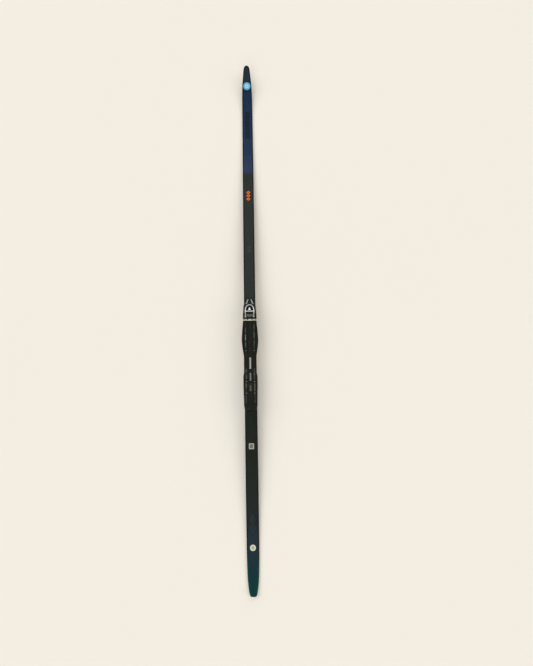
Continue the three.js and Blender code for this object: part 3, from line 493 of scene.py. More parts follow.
def top_print(badge_centre):
    """The cover's colours from tail to tip under its printed marks, with fine lengthwise grain and scuffs,
    and painted shade at the upturned tip and towards the side edges.
    """
    g = Graph("top_print", coat=0.04, specular=0.16)
    share = g.calc("DIVIDE", g.calc("SUBTRACT", g.y, TAIL_Y), TIP_Y - TAIL_Y)
    colour = g.ramp(share, [(along(y), code) for y, code in TOP_COLOURS])

    grain = g.noise(900, 2.0, (1.0, 0.012, 1.0))
    streaks = g.noise(260, 2.0, (1.0, 0.02, 1.0))
    colour = g.mix(g.fade(streaks, 0.45, 0.8), colour, g.mix(0.95, "5d7278", colour))
    colour = g.stain(colour, g.noise(14, 4.0, (1.0, 0.35, 1.0)), 0.12, 0.24, "0a0d0e")

    dark = chevrons(g, DARK_MARK, 0.7)
    colour = g.tint(colour, dark, 0.9, "0c161b")
    orange = diamonds(g, ORANGE_MARK, 0.5)
    colour = g.mix(orange, colour, g.mix(g.noise(120, 2.0), "f05c08", "ff8c30"))
    colour = g.tint(colour, diamonds(g, TAIL_MOTIF, 0.25), 0.45, "354a50")
    colour = g.tint(colour, ticks(g, TAIL_TICKS), 0.5, "0c100e")
    colour = g.tint(colour, ticks(g, FRONT_TICKS), 0.3, "4d585c")

    halo = g.fade(g.distance(g.y, badge_centre.y), HALO_OUTER, HALO_INNER)
    colour = g.tint(colour, halo, 0.8, "101b40")
    # painted shade: the last millimetres of the upturned nose darkened
    colour = g.tint(colour, g.fade(g.y, SHADED_NOSE_START, SHADED_NOSE_FULL), 0.75, "07090a")
    # painted shade towards the side edges, turning teal towards the tail
    shade = g.multiply(g.fade(g.attribute(EDGE_DISTANCE), SHADED_EDGE_START, SHADED_EDGE_FULL), 0.72)
    edge_shade_colour = g.mix(g.fade(g.y, TEAL_EDGE_START, TEAL_EDGE_FULL), "0b0f0d", "06443b")
    colour = g.mix(shade, colour, edge_shade_colour)

    scuffs = g.noise(60, 6.0, (1.0, 0.3, 1.0))
    relief = [(grain, 0.03), (scuffs, 0.04), (dark, 0.05), (orange, 0.05)]
    return g.finish(colour, (scuffs, 0.36, 0.2), relief)


def base_grind():
    """Black sintered base with a fine stone grind and patches of wax."""
    g = Graph("base_grind", specular=0.45)
    grind = g.noise(1500, 2.0, (1.0, 0.01, 1.0))
    wax = g.noise(9, 5.0, (1.0, 0.2, 1.0))
    colour = g.stain("1d2024", grind, 0.3, 0.5, "34383e")
    colour = g.stain(colour, wax, 0.2, 0.3, "4a4f55")
    return g.finish(colour, (wax, 0.42, 0.2), [(grind, 0.04)])


def skin_pile():
    """Pale pile whose hairs lie along the ski."""
    g = Graph("skin_pile", roughness=0.85, sheen=0.6, specular=0.2)
    hairs = g.noise(2600, 2.0, (1.0, 0.12, 1.0))
    tufts = g.noise(240, 4.0, (1.0, 0.5, 1.0))
    colour = g.stain(g.mix(hairs, "9d8a62", "dccca6"), tufts, 0.25, 0.5, "b19c72")
    return g.finish(colour, relief=[(tufts, 0.2), (hairs, 0.15)])


def fibre_laminate():
    """Dark cloth set in resin, its threads crossing at 45 degrees to the ski."""
    g = Graph("fibre_laminate", roughness=0.35, coat=0.3)
    warp = g.stripes(g.calc("ADD", g.x, g.y), THREAD_PITCH, 0.5)
    weft = g.stripes(g.calc("SUBTRACT", g.x, g.y), THREAD_PITCH, 0.5)
    weave = g.distance(warp, weft)
    fibres = g.noise(1800, 2.0, (0.05, 1.0, 1.0))
    colour = g.stain(g.mix(weave, "1c1e1f", "3a3d3f"), fibres, 0.2, 0.3, "525658")
    return g.finish(colour, relief=[(weave, 0.04), (fibres, 0.02)])


def wood_core():
    """Strips of wood between strips of foam."""
    g = Graph("wood_core", roughness=0.75, specular=0.25)
    strips = g.stripes(g.x, CORE_STRIP_PITCH, 0.45)
    grain = g.noise(420, 4.0, (1.0, 0.02, 1.0))
    cells = g.noise(1400, 1.0)
    wood = g.mix(grain, "b98f56", "e3c590")
    foam = g.mix(cells, "cfc3a0", "ece3c8")
    return g.finish(g.mix(strips, foam, wood), relief=[(grain, 0.1), (cells, 0.1)])


def ground_plastic(name, dark, light):
    """Black plastic that was ground flush along the ski, as the sidewalls and the end fillers are."""
    g = Graph(name, specular=0.4)
    lines = g.noise(1300, 2.0, (1.0, 0.015, 1.0))
    smears = g.noise(30, 5.0, (1.0, 0.3, 1.0))
    colour = g.stain(dark, lines, 0.35, 0.6, light)
    colour = g.stain(colour, smears, 0.1, 0.2, "3a3d40")
    return g.finish(colour, (smears, 0.46, 0.22), [(lines, 0.04)])


def colour_rings(g, centre, stops):
    """Colour by distance from a centre: [(radius, code), ...] from the middle outwards."""
    x = g.calc("SUBTRACT", g.x, centre.x)
    y = g.calc("SUBTRACT", g.y, centre.y)
    radius = g.calc("SQRT", g.calc("ADD", g.multiply(x, x), g.multiply(y, y)))
    share = g.calc("DIVIDE", radius, RING_REACH)
    return g.ramp(share, [(at / RING_REACH, code) for at, code in stops])


def badge_print(centre):
    """Glossy print in soft rings of blue."""
    g = Graph("badge_print", coat=0.8, specular=0.5, roughness=0.25)
    colour = colour_rings(g, centre, [
        (0, "6f8f9c"), (2.2 * MM, "86a4ad"), (3.2 * MM, "bcc7e6"), (6.2 * MM, "aed2f4"),
        (7.8 * MM, "6fd2ee"), (9.2 * MM, "2fbadb"), (13.2 * MM, "1fadca"), (14.9 * MM, "0d8cac"),
        (15.7 * MM, "0c4460"), (16.4 * MM, "0e1c3c"),
    ])
    colour = g.stain(colour, g.noise(2200, 1.0), 0.06, 0.12, "ffffff")
    scuffs = g.noise(160, 5.0)
    return g.finish(colour, (scuffs, 0.25, 0.14), [(scuffs, 0.03)])


def paper_finish(g, colour, scale, dirt, *prints):
    """Coated paper under a print: its fibres, a little dirt, and the ink's own thickness."""
    paper = g.noise(scale, 4.0)
    relief = [(height, 0.03) for height in (paper, *prints)]
    return g.finish(g.stain(colour, paper, 0.1, 0.2, dirt), (paper, 0.5, 0.2), relief)


def sticker_print(centre):
    g = Graph("sticker_print", coat=0.2, specular=0.4)
    colour = colour_rings(g, centre, [
        (0, "aaa67f"), (4.2 * MM, "b2ae8b"), (5.2 * MM, "d3d3bd"), (8.8 * MM, "dcddc9"),
        (10.4 * MM, "c6c5b3"), (11.2 * MM, "8f8e80"),
    ])
    return paper_finish(g, colour, 700, "8d8b74")


def label_print(node):
    """A pale frame round a grey field of short printed bars."""
    g = Graph("label_print", specular=0.4)
    centre = middle_of(node)
    low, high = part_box(node)
    field = g.multiply(
        g.calc("LESS_THAN", g.distance(g.x, centre.x), (high.x - low.x) / 2 - LABEL_FRAME),
        g.calc("LESS_THAN", g.distance(g.y, centre.y), (high.y - low.y) / 2 - LABEL_FRAME),
    )
    rows = g.stripes(g.calc("SUBTRACT", g.y, centre.y), 3.1 * MM, 0.5)
    bars = g.multiply(rows, g.stripes(g.x, 2.4 * MM, 0.62))
    colour = g.mix(field, "aba99a", g.mix(bars, "696b62", "3b3e38"))
    return paper_finish(g, colour, 600, "8a887b", bars)


# -------- the binding's materials

# the middle of the boot bar, and the level of the plates between their ridges
BAR_Y = (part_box("bar_seat")[0].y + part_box("bar_seat")[1].y) / 2
SOLE_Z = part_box("shift_block")[0].z + 8.2 * MM
BAND_CURVE = 20.0


def moulded(name, dark, light, roughness=0.5, coat=0.0, specular=0.18, marks=()):
    """Injection-moulded plastic: fine spark-eroded grain, faint flow marks and dusty scuffs.

    Marks are (mask function, colour code, share) printed on top."""
    g = Graph(name, coat=coat, specular=specular)
    grain = g.noise(1700, 3.0)
    flow = g.noise(45, 4.0, (1.0, 0.4, 1.0))
    scuffs = g.noise(190, 6.0, (1.0, 0.35, 1.0))
    colour = g.stain(dark, grain, 0.4, 0.5, light)
    colour = g.tint(colour, g.fade(scuffs, 0.56, 0.74), 0.16, "5d6259")
    colour = g.stain(colour, flow, 0.06, 0.12, "000000")
    for mask, code, share in marks:
        colour = g.tint(colour, mask(g), share, code)
    return g.finish(colour, (scuffs, roughness, 0.16), [(grain, 0.05), (flow, 0.05)])


def ladder(start, end, rail, reach, pitch=3.6):
    """A mask for a printed scale: a rail down the middle with cross ticks.

    Start and end are distances from the boot bar, and all five are in millimetres."""
    def mask(g):
        along_mark = g.inside(g.y, BAR_Y + start * MM, BAR_Y + end * MM)
        cross_ticks = g.multiply(g.stripes(g.y, pitch * MM, 0.55), g.calc("LESS_THAN", g.side, reach * MM))
        middle = g.calc("LESS_THAN", g.side, rail * MM)
        top_face = g.calc("GREATER_THAN", g.z, SOLE_Z - 1.5 * MM)
        return g.multiply(g.calc("MAXIMUM", cross_ticks, middle), along_mark, top_face)
    return mask


def ridge_glint(near, far, start, end, low=3.0, soft=10):
    """A mask for a painted highlight: a line along the crest of one ridge, where light catches it.

    Near and far are X limits, start and end are distances from the boot bar, low is the height above
    the sole where it begins, and soft is the length of the fade at each end, all in millimetres."""
    def mask(g):
        high = g.fade(g.z, SOLE_Z + low * MM, SOLE_Z + (low + 1.6) * MM)
        across = g.multiply(
            g.fade(g.x, (near - 0.3) * MM, (near + 0.7) * MM),
            g.fade(g.x, (far + 0.3) * MM, (far - 0.7) * MM),
        )
        lengths = g.multiply(
            g.fade(g.y, BAR_Y + start * MM, BAR_Y + (start + soft) * MM),
            g.fade(g.y, BAR_Y + end * MM, BAR_Y + (end - soft) * MM),
        )
        patches = g.fade(g.noise(60, 3.0), 0.3, 0.6)
        highlight_breaks = g.vary(g.noise(900, 3.0, (1.0, 0.06, 1.0)), 0.9, 0.9)
        return g.multiply(high, across, lengths, patches, highlight_breaks)
    return mask


def ridge_front_highlight(front):
    """A mask for a painted highlight on the front edges of the two ridges, where a plate begins."""
    def mask(g):
        edge = g.fade(g.y, BAR_Y + (front - 3.0) * MM, BAR_Y + (front - 1.4) * MM)
        across = g.multiply(g.fade(g.side, 10.2 * MM, 11.4 * MM), g.fade(g.side, 17.8 * MM, 16.4 * MM))
        return g.multiply(edge, across, g.calc("GREATER_THAN", g.z, SOLE_Z + 1.0 * MM))
    return mask


def nose_front_light(g):
    """A mask for painted light on the front of the nose, which turns it greyer than its black middle."""
    return g.fade(g.y, BAR_Y + 46 * MM, BAR_Y + 58 * MM)


def shaded_rim(limit):
    """A mask for painted shade on the outer strip of a wide plate, which falls away and looks black from
    above.
    """
    return lambda g: g.fade(g.side, limit * MM, (limit + 2.5) * MM)


def metal(name, dark, light, roughness, metallic=1.0, brushed=(1.0, 0.05, 1.0), shade_mask=None):
    """Brushed metal with faint stains and, where a shade mask is given, painted shade; its brush marks run
    along the ski unless the stretch says otherwise.
    """
    g = Graph(name, metallic=metallic)
    lines = g.noise(1900, 2.0, brushed)
    stains = g.noise(120, 5.0)
    colour = g.stain(dark, lines, 0.5, 0.6, light)
    colour = g.stain(colour, stains, 0.08, 0.16, "6d6c64")
    if shade_mask:
        # painted shade where the mask is given
        colour = g.tint(colour, shade_mask(g), 0.65, "5d5843")
    return g.finish(colour, (stains, roughness, 0.16), [(lines, 0.02)])


def jaw_side_shade(g):
    """A mask for painted shade on the part of the bar's seat that lies towards the jaw, under the housing's
    edge.
    """
    return g.fade(g.y, BAR_Y + 0.2 * MM, BAR_Y + 3.0 * MM)


def satin_coat(g, dark, light, roughness, *tints):
    """An even satin finish with a fine orange-peel skin. Tints are (mask, share, colour code)."""
    peel = g.noise(900, 2.0)
    dust = g.noise(140, 5.0)
    colour = g.stain(dark, dust, 0.5, 0.8, light)
    for mask, share, code in tints:
        colour = g.tint(colour, mask, share, code)
    return g.finish(colour, (dust, roughness, 0.16), [(peel, 0.04)])


def satin_paint(name, dark, light, roughness):
    return satin_coat(Graph(name, specular=0.5, coat=0.15), dark, light, roughness)


def lever_paint():
    """Silver on the lever's upper face, darker at its lifting end and its arms, over dark plastic sides."""
    g = Graph("lever_paint", specular=0.4, coat=0.1)
    lifting_end = g.fade(g.y, BAR_Y + 40 * MM, BAR_Y + 52 * MM)
    arms = g.fade(g.y, BAR_Y + 27 * MM, BAR_Y + 20 * MM)
    middle, normal = top_plane("lever_frame")
    along_y = g.multiply(g.calc("SUBTRACT", g.y, middle.y), normal.y)
    height = g.calc("ADD", along_y, g.multiply(g.calc("SUBTRACT", g.z, middle.z), normal.z))
    sides = g.fade(height, -0.15 * MM, -0.75 * MM)
    darker_ends = g.calc("MAXIMUM", lifting_end, arms)
    return satin_coat(g, "cdceca", "ecede9", 0.34, (darker_ends, 0.55, "6f706c"), (sides, 0.97, "30312f"))


def bumper_rubber():
    """Black rubber, grey in a curved band across it."""
    g = Graph("bumper_rubber", specular=0.3)
    grain = g.noise(1500, 3.0)
    bloom = g.noise(110, 4.0)
    arc = g.calc("MULTIPLY_ADD", g.multiply(g.side, g.side), -BAND_CURVE, g.y)
    front = BAR_Y + 19 * MM
    rear = BAR_Y + 7.6 * MM
    band = g.multiply(g.fade(arc, front, front - 3 * MM), g.fade(arc, rear, rear + 2.5 * MM))
    colour = g.mix(band, "12130f", g.stain("49514a", bloom, 0.5, 0.7, "626c62"))
    colour = g.stain(colour, grain, 0.1, 0.2, "23251f")
    return g.finish(colour, (bloom, 0.66, 0.2), [(grain, 0.06)])


# -------- the ski's pieces

STATION_PITCH = 7 * MM
END_PITCH = 0.7 * MM
END_SHARE = 0.12
SIDE_ROUND = 0.25 * MM
SAME_LEVEL = 0.1 * MM


def places(start, end):
    """Positions along the ski, closer together towards its tip and its tail."""
    found = [start]
    while found[-1] < end:
        room = min(found[-1] - TAIL_Y, TIP_Y - found[-1])
        step = min(STATION_PITCH, max(END_PITCH, room * END_SHARE))
        found.append(min(found[-1] + step, end))
    return found


def widest_at_bottom(corners):
    return max(x for x, z in corners if z - lowest(corners) < SAME_LEVEL)


def widest_at_top(corners):
    return max(x for x, z in corners if highest(corners) - z < SAME_LEVEL)


class Layer:
    """The lines along one CAD layer of the ski: its heights and its half widths."""

    def __init__(self, node):
        groups = outer_stations(node, half_width)
        self.start, self.end = groups[0][0], groups[-1][0]
        self.low = line_of(groups, lowest)
        self.high = line_of(groups, highest)
        self.half_low = line_of(groups, widest_at_bottom)
        self.half_high = line_of(groups, widest_at_top)
        self.half = line_of(groups, widest)

    def places(self):
        return places(self.start, self.end)


def mirrored_ring(y, right):
    """A closed ring at Y from its right half, which runs from the bottom middle round to the top middle."""
    left = [(-x, z) for x, z in reversed(right) if x > 1e-9]
    return [(x, y, z) for x, z in right + left]


def plain_layer(node, name, material):
    """A flat layer with slightly rounded sides."""
    layer = Layer(node)

    def ring(y):
        low, high = layer.low(y), layer.high(y)
        below, above = layer.half_low(y), layer.half(y)
        soft = min(SIDE_ROUND, (high - low) * 0.3, below * 0.2)
        return mirrored_ring(y, [
            (0, low), (below - soft, low), (below, low + soft), (above, high - soft), (above - soft, high),
            (0, high),
        ])

    return stand_for(loft(name, [ring(y) for y in layer.places()], material), node)


SHOULDER_DROP = 0.16 * MM
TOP_ROUND = 0.38 * MM
TOP_COLUMNS = 7
ROUND_STEPS = 4


def top_cover(material):
    """The printed cover, flat in the middle, with soft shoulders and rounded edges."""
    layer = Layer("top_sheet")
    rounding = [math.radians(90 * i / ROUND_STEPS) for i in range(ROUND_STEPS + 1)]

    def ring(y):
        low, high, half = layer.low(y), layer.high(y), layer.half(y)
        radius = min(TOP_ROUND, half * 0.2)
        shoulder = min(SHOULDER_WIDTH, half * 0.5)
        right = [(0, low), (half, low)]
        edge_z = high - SHOULDER_DROP
        for angle in rounding:
            right.append((half - radius * (1 - math.cos(angle)), edge_z - radius * (1 - math.sin(angle))))
        for i in range(1, TOP_COLUMNS + 1):
            t = i / TOP_COLUMNS
            bend = t * t * (3 - 2 * t)
            right.append((half - radius - (shoulder - radius) * t, edge_z + SHOULDER_DROP * bend))
        right += [((half - shoulder) * 0.5, high), (0, high)]
        return mirrored_ring(y, right)

    piece = loft("printed_cover", [ring(y) for y in layer.places()], material)
    distance = piece.data.attributes.new(EDGE_DISTANCE, "FLOAT", "POINT")
    for vertex, stored in zip(piece.data.vertices, distance.data):
        stored.value = layer.half(vertex.co.y) - abs(vertex.co.x)
    return stand_for(piece, "top_sheet")


def carve(piece, *cutters):
    """Cuts the cutters out of a piece and removes them."""
    for cutter in cutters:
        cut = piece.modifiers.new("cut", "BOOLEAN")
        cut.operation = "DIFFERENCE"
        cut.solver = "EXACT"
        cut.object = cutter
    graph = bpy.context.evaluated_depsgraph_get()
    mesh = bpy.data.meshes.new_from_object(piece.evaluated_get(graph))
    piece.modifiers.clear()
    piece.data = mesh
    for cutter in cutters:
        bpy.data.objects.remove(cutter)
    keep_creases(piece)
    return piece


GROOVE_SEARCH = 2.6 * MM
GROOVE_DEEPEST = 1.0 * MM
GROOVE_HALF = 4 * MM
GROOVE_SIDES = 6

SKIN_POCKET = 0.8 * MM
SKIN_GAP = 0.3 * MM
SKIN_CROWN = 0.12 * MM
SKIN_TAPER = 4 * MM
SKIN_TAPER_LIFT = 0.2 * MM
SKIN_COLUMNS = 8
CUTTER_DEPTH = 3 * MM


def base_with_groove(material):
    """The running base: flat, with a rounded centre groove and the pockets of the two grip skins."""
    layer = Layer("base_sheet")

    def groove_height(place):
        height = place.z - layer.low(place.y)
        return height if abs(place.x) < GROOVE_SEARCH and height < GROOVE_DEEPEST else None

    depth = line_along("base_sheet", groove_height, max, 0.0)

    def ring(y):
        low, high = layer.low(y), layer.high(y)
        below, above = layer.half_low(y), layer.half(y)
        soft = min(SIDE_ROUND, below * 0.2)
        lip = min(GROOVE_HALF, below * 0.7)
        right = []
        for i in range(GROOVE_SIDES + 1):
            t = i / GROOVE_SIDES
            right.append((lip * t, low + depth(y) * (0.5 + 0.5 * math.cos(math.pi * t))))
        return mirrored_ring(y, right + [(below - soft, low), (below, low + soft), (above, high), (0, high)])

    piece = loft("running_base", [ring(y) for y in layer.places()], material)
    cutters = []
    for node in ("skin_left", "skin_right"):
        skin_low, skin_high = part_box(node)
        near, far = skin_low.x - SKIN_GAP, skin_high.x + SKIN_GAP

        def box_ring(y):
            top, bottom = layer.low(y) + SKIN_POCKET, layer.low(y) - CUTTER_DEPTH
            return [(near, y, bottom), (far, y, bottom), (far, y, top), (near, y, top)]

        stations = places(skin_low.y - SKIN_GAP, skin_high.y + SKIN_GAP)
        cutters.append(loft("pocket", [box_ring(y) for y in stations], material))
    return stand_for(carve(piece, *cutters), "base_sheet")


def grip_skin(node, name, material):
    """A pile strip with a crowned face, thinned at both ends where it is glued down."""
    low_corner, high_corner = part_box(node)
    near, far = low_corner.x, high_corner.x
    groups = outer_stations(node)
    under, over = line_of(groups, lowest), line_of(groups, highest)

    def ring(y):
        end_room = min(y - groups[0][0], groups[-1][0] - y)
        taper = 1 - min(max(end_room / SKIN_TAPER, 0), 1)
        low, high = under(y), over(y)
        points = []
        for i in range(SKIN_COLUMNS + 1):
            across = i / SKIN_COLUMNS
            lift = SKIN_CROWN * (2 * across - 1) ** 2 + taper * SKIN_TAPER_LIFT
            points.append((near + (far - near) * across, y, low + lift))
        return points + [(far, y, high), (near, y, high)]

    piece = loft(name, [ring(y) for y in places(groups[0][0], groups[-1][0])], material)
    return stand_for(piece, node)


def sidewall(node, name, material):
    """A plastic strip beside the core, with its two outer edges slightly rounded."""
    side = 1 if middle_of(node).x > 0 else -1
    layer = Layer(node)
    inside = line_along(node, lambda place: abs(place.x), min, 1.0)

    def ring(y):
        low, high = layer.low(y), layer.high(y)
        below, above, near = layer.half(y), layer.half_high(y), inside(y)
        soft = min(SIDE_ROUND, (high - low) * 0.2)
        section = [
            (near, low), (below - soft, low), (below, low + soft), (above, high - soft), (above - soft, high),
            (near, high),
        ]
        return [(side * x, y, z) for x, z in section[::side]]

    return stand_for(loft(name, [ring(y) for y in layer.places()], material), node)


# -------- badge, label and sticker

DECAL_GLUE = 0.1 * MM
DECAL_THICKNESS = 0.4 * MM
DECAL_EDGE = 0.15 * MM
DISC_SIDES = 72
DISC_CIRCLES = 8
LABEL_CORNER = 1.6 * MM
LABEL_CORNER_STEPS = 7


def disc_decal(node, name, material, dome):
    """A round decal that follows the ski's top, a little higher in its middle."""
    low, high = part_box(node)
    centre = middle_of(node)
    radius = (high.x - low.x) / 2
    # the shares of the radius where circles lie, with their heights in domes above the decal's edge
    inner = [(i / DISC_CIRCLES, 1 - (i / DISC_CIRCLES) ** 2) for i in range(1, DISC_CIRCLES)]
    circles = inner + [(0.97, 0.03), (1.0, -DECAL_EDGE / dome), (1.0, -DECAL_THICKNESS / dome)]

    def point(x, y, rise):
        return (x, y, top_z(y) + DECAL_GLUE + DECAL_THICKNESS + dome * rise)

    points = [point(centre.x, centre.y, 1.0)]
    for share, rise in circles:
        for i in range(DISC_SIDES):
            angle = 2 * math.pi * i / DISC_SIDES
            x = centre.x + radius * share * math.cos(angle)
            y = centre.y + radius * share * math.sin(angle)
            points.append(point(x, y, rise))
    points.append((centre.x, centre.y, top_z(centre.y) + DECAL_GLUE))
    faces = []
    for i in range(DISC_SIDES):
        j = (i + 1) % DISC_SIDES
        faces.append((0, 1 + i, 1 + j))
        for circle in range(len(circles) - 1):
            a = 1 + circle * DISC_SIDES
            faces.append((a + i, a + DISC_SIDES + i, a + DISC_SIDES + j, a + j))
        last = 1 + (len(circles) - 1) * DISC_SIDES
        faces.append((last + i, len(points) - 1, last + j))
    piece = make_object(name, mesh_from(name, points, faces), material)
    keep_creases(piece)
    return stand_for(piece, node)


def label_decal(node, name, material):
    """A square decal with rounded corners that follows the ski's top."""
    low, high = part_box(node)
    centre = middle_of(node)
    half_x, half_y = (high.x - low.x) / 2, (high.y - low.y) / 2

    def outline(shrink):
        points = []
        for quarter, (side_x, side_y) in enumerate([(1, 1), (-1, 1), (-1, -1), (1, -1)]):
            for i in range(LABEL_CORNER_STEPS + 1):
                angle = math.radians(90 * (quarter + i / LABEL_CORNER_STEPS))
                reach = LABEL_CORNER - shrink
                x = centre.x + side_x * (half_x - LABEL_CORNER) + reach * math.cos(angle)
                y = centre.y + side_y * (half_y - LABEL_CORNER) + reach * math.sin(angle)
                points.append((x, y))
        return points

    top = DECAL_GLUE + DECAL_THICKNESS
    levels = [(0, DECAL_GLUE), (0, top - DECAL_EDGE), (DECAL_EDGE, top)]
    rings = [[(x, y, top_z(y) + height) for x, y in outline(shrink)] for shrink, height in levels]
    return stand_for(loft(name, rings, material), node)


# -------- wires and small trim

WIRE_SIDES = 12


def tube(name, path, radius, material):
    """A round wire along a path of points, with flat ends."""
    circle = [2 * math.pi * k / WIRE_SIDES for k in range(WIRE_SIDES)]
    rings = []
    across = (path[1] - path[0]).orthogonal()
    for i, point in enumerate(path):
        ahead = (path[min(i + 1, len(path) - 1)] - path[max(i - 1, 0)]).normalized()
        across = (across - across.dot(ahead) * ahead).normalized()
        up = ahead.cross(across)
        rings.append([tuple(point + radius * (across * math.cos(a) + up * math.sin(a))) for a in circle])
    return loft(name, rings, material)


SPRING_TURNS = 7
SPRING_STEPS_PER_TURN = 28
SPRING_WIRE = 0.35 * MM
SPRING_END_TURNS = 0.8
SPRING_END_PITCH = 2.2 * SPRING_WIRE


def coil_spring(node, name, material):
    """A compression spring with closed end turns."""
    low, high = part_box(node)
    centre = middle_of(node)
    radius = (high.x - low.x) / 2 - SPRING_WIRE
    free = high.y - low.y - 2 * SPRING_WIRE
    end_rise = SPRING_END_TURNS * SPRING_END_PITCH
    working_turns = SPRING_TURNS - 2 * SPRING_END_TURNS
    steps = SPRING_STEPS_PER_TURN * SPRING_TURNS
    path = []
    for i in range(steps + 1):
        turn = SPRING_TURNS * i / steps
        first = min(turn, SPRING_END_TURNS)
        last = max(turn - SPRING_TURNS + SPRING_END_TURNS, 0)
        working = turn - first - last
        y = low.y + SPRING_WIRE + (first + last) * SPRING_END_PITCH
        y += working / working_turns * (free - 2 * end_rise)
        angle = 2 * math.pi * turn
        path.append(Vector((centre.x + radius * math.cos(angle), y, centre.z + radius * math.sin(angle))))
    piece = stand_for(tube(name, path, SPRING_WIRE, material), node)
    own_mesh(piece)
    return piece


def surface_finder(node):
    """A function that gives the height of a CAD node's upper surface under a point."""
    mesh = frame["nodes"][node].data
    tree = BVHTree.FromPolygons([v.co for v in mesh.vertices], [face.vertices for face in mesh.polygons])

    def height(x, y):
        return tree.ray_cast(Vector((x, y, 1.0)), Vector((0, 0, -1)))[0].z
    return height


# the right rib's middle line: its rear end, and its run forwards
RIB_REAR = Vector((12.4 * MM, BAR_Y + 59.6 * MM))
RIB_RUN = Vector((-7.0 * MM, 21.4 * MM))
RIB_HALF_WIDTH, RIB_NARROWING = 3.3, 1.3
RIB_HEIGHT = 0.55 * MM
RIB_END = 2 * MM
RIB_STEPS = 16
RIB_SIDES = 12
RIB_SUNK = 0.02 * MM
RIB_ROOT = 0.5 * MM


def nose_rib(side, name, material):
    """A grey slanted rib on the nose, wide and low, narrower towards the tip, with rounded ends."""
    surface = surface_finder("toe_housing")
    rings = []
    for i in range(RIB_STEPS + 1):
        t = i / RIB_STEPS
        x, y = RIB_REAR + RIB_RUN * t
        x *= side
        end_room = min(t, 1 - t) * RIB_RUN.length
        share = math.sqrt(1 - (1 - min(end_room / RIB_END, 1)) ** 2) * 0.97 + 0.03
        wide, tall = (RIB_HALF_WIDTH - RIB_NARROWING * t) * MM * share, RIB_HEIGHT * share
        points = []
        for k in range(RIB_SIDES):
            angle = math.pi * k / (RIB_SIDES - 1)
            px = x + wide * math.cos(angle)
            points.append((px, y, surface(px, y) + tall * math.sin(angle) - RIB_SUNK))
        points += [(px, y, surface(px, y) - RIB_ROOT) for px in (x - wide, x + wide)]
        rings.append(points)
    return lie_on(loft(name, rings, material), "toe_housing", SLOT_OF["lever_frame"])


MARK_LENGTH, MARK_HALF_WIDTH = 11.6 * MM, 5.0 * MM
MARK_FROM_REAR = 3.2 * MM
MARK_CORNER = 2.2 * MM
MARK_CORNER_STEPS = 6
MARK_UNDERSIDE, MARK_TOP = 0.02 * MM, 0.3 * MM


def pad_mark(material):
    """A plain white triangle on the lever's pad that points to the lifting end."""
    middle, normal = top_plane("lever_pad")
    rear_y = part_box("lever_pad")[0].y + MARK_FROM_REAR
    front = Vector((0.0, rear_y + MARK_LENGTH))
    corners = [Vector((-MARK_HALF_WIDTH, rear_y)), Vector((MARK_HALF_WIDTH, rear_y)), front]
    outline = []
    for i, corner in enumerate(corners):
        start = corner + (corners[i - 1] - corner).normalized() * MARK_CORNER
        end = corner + (corners[(i + 1) % 3] - corner).normalized() * MARK_CORNER
        for k in range(MARK_CORNER_STEPS + 1):
            t = k / MARK_CORNER_STEPS
            outline.append((1 - t) ** 2 * start + 2 * t * (1 - t) * corner + t * t * end)

    def lifted(point, rise):
        z = middle.z - (normal.y * (point.y - middle.y) + normal.x * (point.x - middle.x)) / normal.z
        return (point.x, point.y, z + rise)

    rings = [[lifted(point, rise) for point in outline] for rise in (MARK_UNDERSIDE, MARK_TOP)]
    return lie_on(loft("lift_mark", rings, material), "lever_pad", "label")


# -------- the ski

laminate = fibre_laminate()
side_plastic = ground_plastic("side_plastic", "15171a", "26292c")
filler_plastic = ground_plastic("filler_plastic", "111316", "212427")
pile = skin_pile()

top_cover(top_print(middle_of("tip_badge")))
plain_layer("upper_laminate", "upper_fibre_layer", laminate)
plain_layer("lower_laminate", "lower_fibre_layer", laminate)
plain_layer("tip_spacer", "tip_filler", filler_plastic)
plain_layer("tail_spacer", "tail_filler", filler_plastic)
sidewall("sidewall_left", "left_sidewall", side_plastic)
sidewall("sidewall_right", "right_sidewall", side_plastic)

base_with_groove(base_grind())
grip_skin("skin_left", "left_grip_skin", pile)
grip_skin("skin_right", "right_grip_skin", pile)

disc_decal("tip_badge", "round_badge", badge_print(middle_of("tip_badge")), 0.5 * MM)
disc_decal("tail_sticker", "round_sticker", sticker_print(middle_of("tail_sticker")), 0.12 * MM)
label_decal("size_label", "square_label", label_print("size_label"))

# -------- the binding

housing_plastic = moulded(
    "housing_plastic", "040503", "0b0c08", roughness=0.42, coat=0.02, specular=0.1,
    # painted light: the front of the nose greyed
    marks=[(nose_front_light, "2a302c", 0.5)],
)
pad_plastic = moulded("pad_plastic", "050505", "0c0c0c", roughness=0.32, coat=0.1)
base_plastic = moulded("plate_plastic", "141512", "23251f")
steel = metal("polished_steel", "8f8f8a", "cfcfc9", 0.28)
seat_metal = metal(
    "seat_metal", "ece6c8", "fbf7e2", 0.5, metallic=0.1, brushed=(0.05, 1.0, 1.0), shade_mask=jaw_side_shade,
)
jaw_steel = metal("jaw_steel", "262624", "3c3c39", 0.42)
screw_steel = metal("screw_steel", "7d7e7c", "b9bab6", 0.35)
spring_steel = metal("spring_wire", "6f7274", "a8abad", 0.3)
grey_rib = satin_paint("grey_rib", "7f827d", "9da09b", 0.45)
white_print = satin_paint("white_print", "e6e7e6", "fbfbfa", 0.4)

rounded("mounting_plate", "mounting_rail_plate", base_plastic, 0.35 * MM)
creased("toe_housing", "nose_housing", housing_plastic)
rounded("bar_seat", "boot_bar_seat", seat_metal, 0.25 * MM)
rounded("flexor", "rubber_flexor", bumper_rubber(), 0.5 * MM)
rounded("jaw", "bar_jaw", jaw_steel, 0.3 * MM)
rounded("lever_frame", "lift_lever", lever_paint(), 1.0 * MM)
rounded("lever_pad", "lever_insert", pad_plastic, 0.45 * MM)
nose_rib(-1, "nose_rib_left", grey_rib)
nose_rib(1, "nose_rib_right", grey_rib)
pad_mark(white_print)

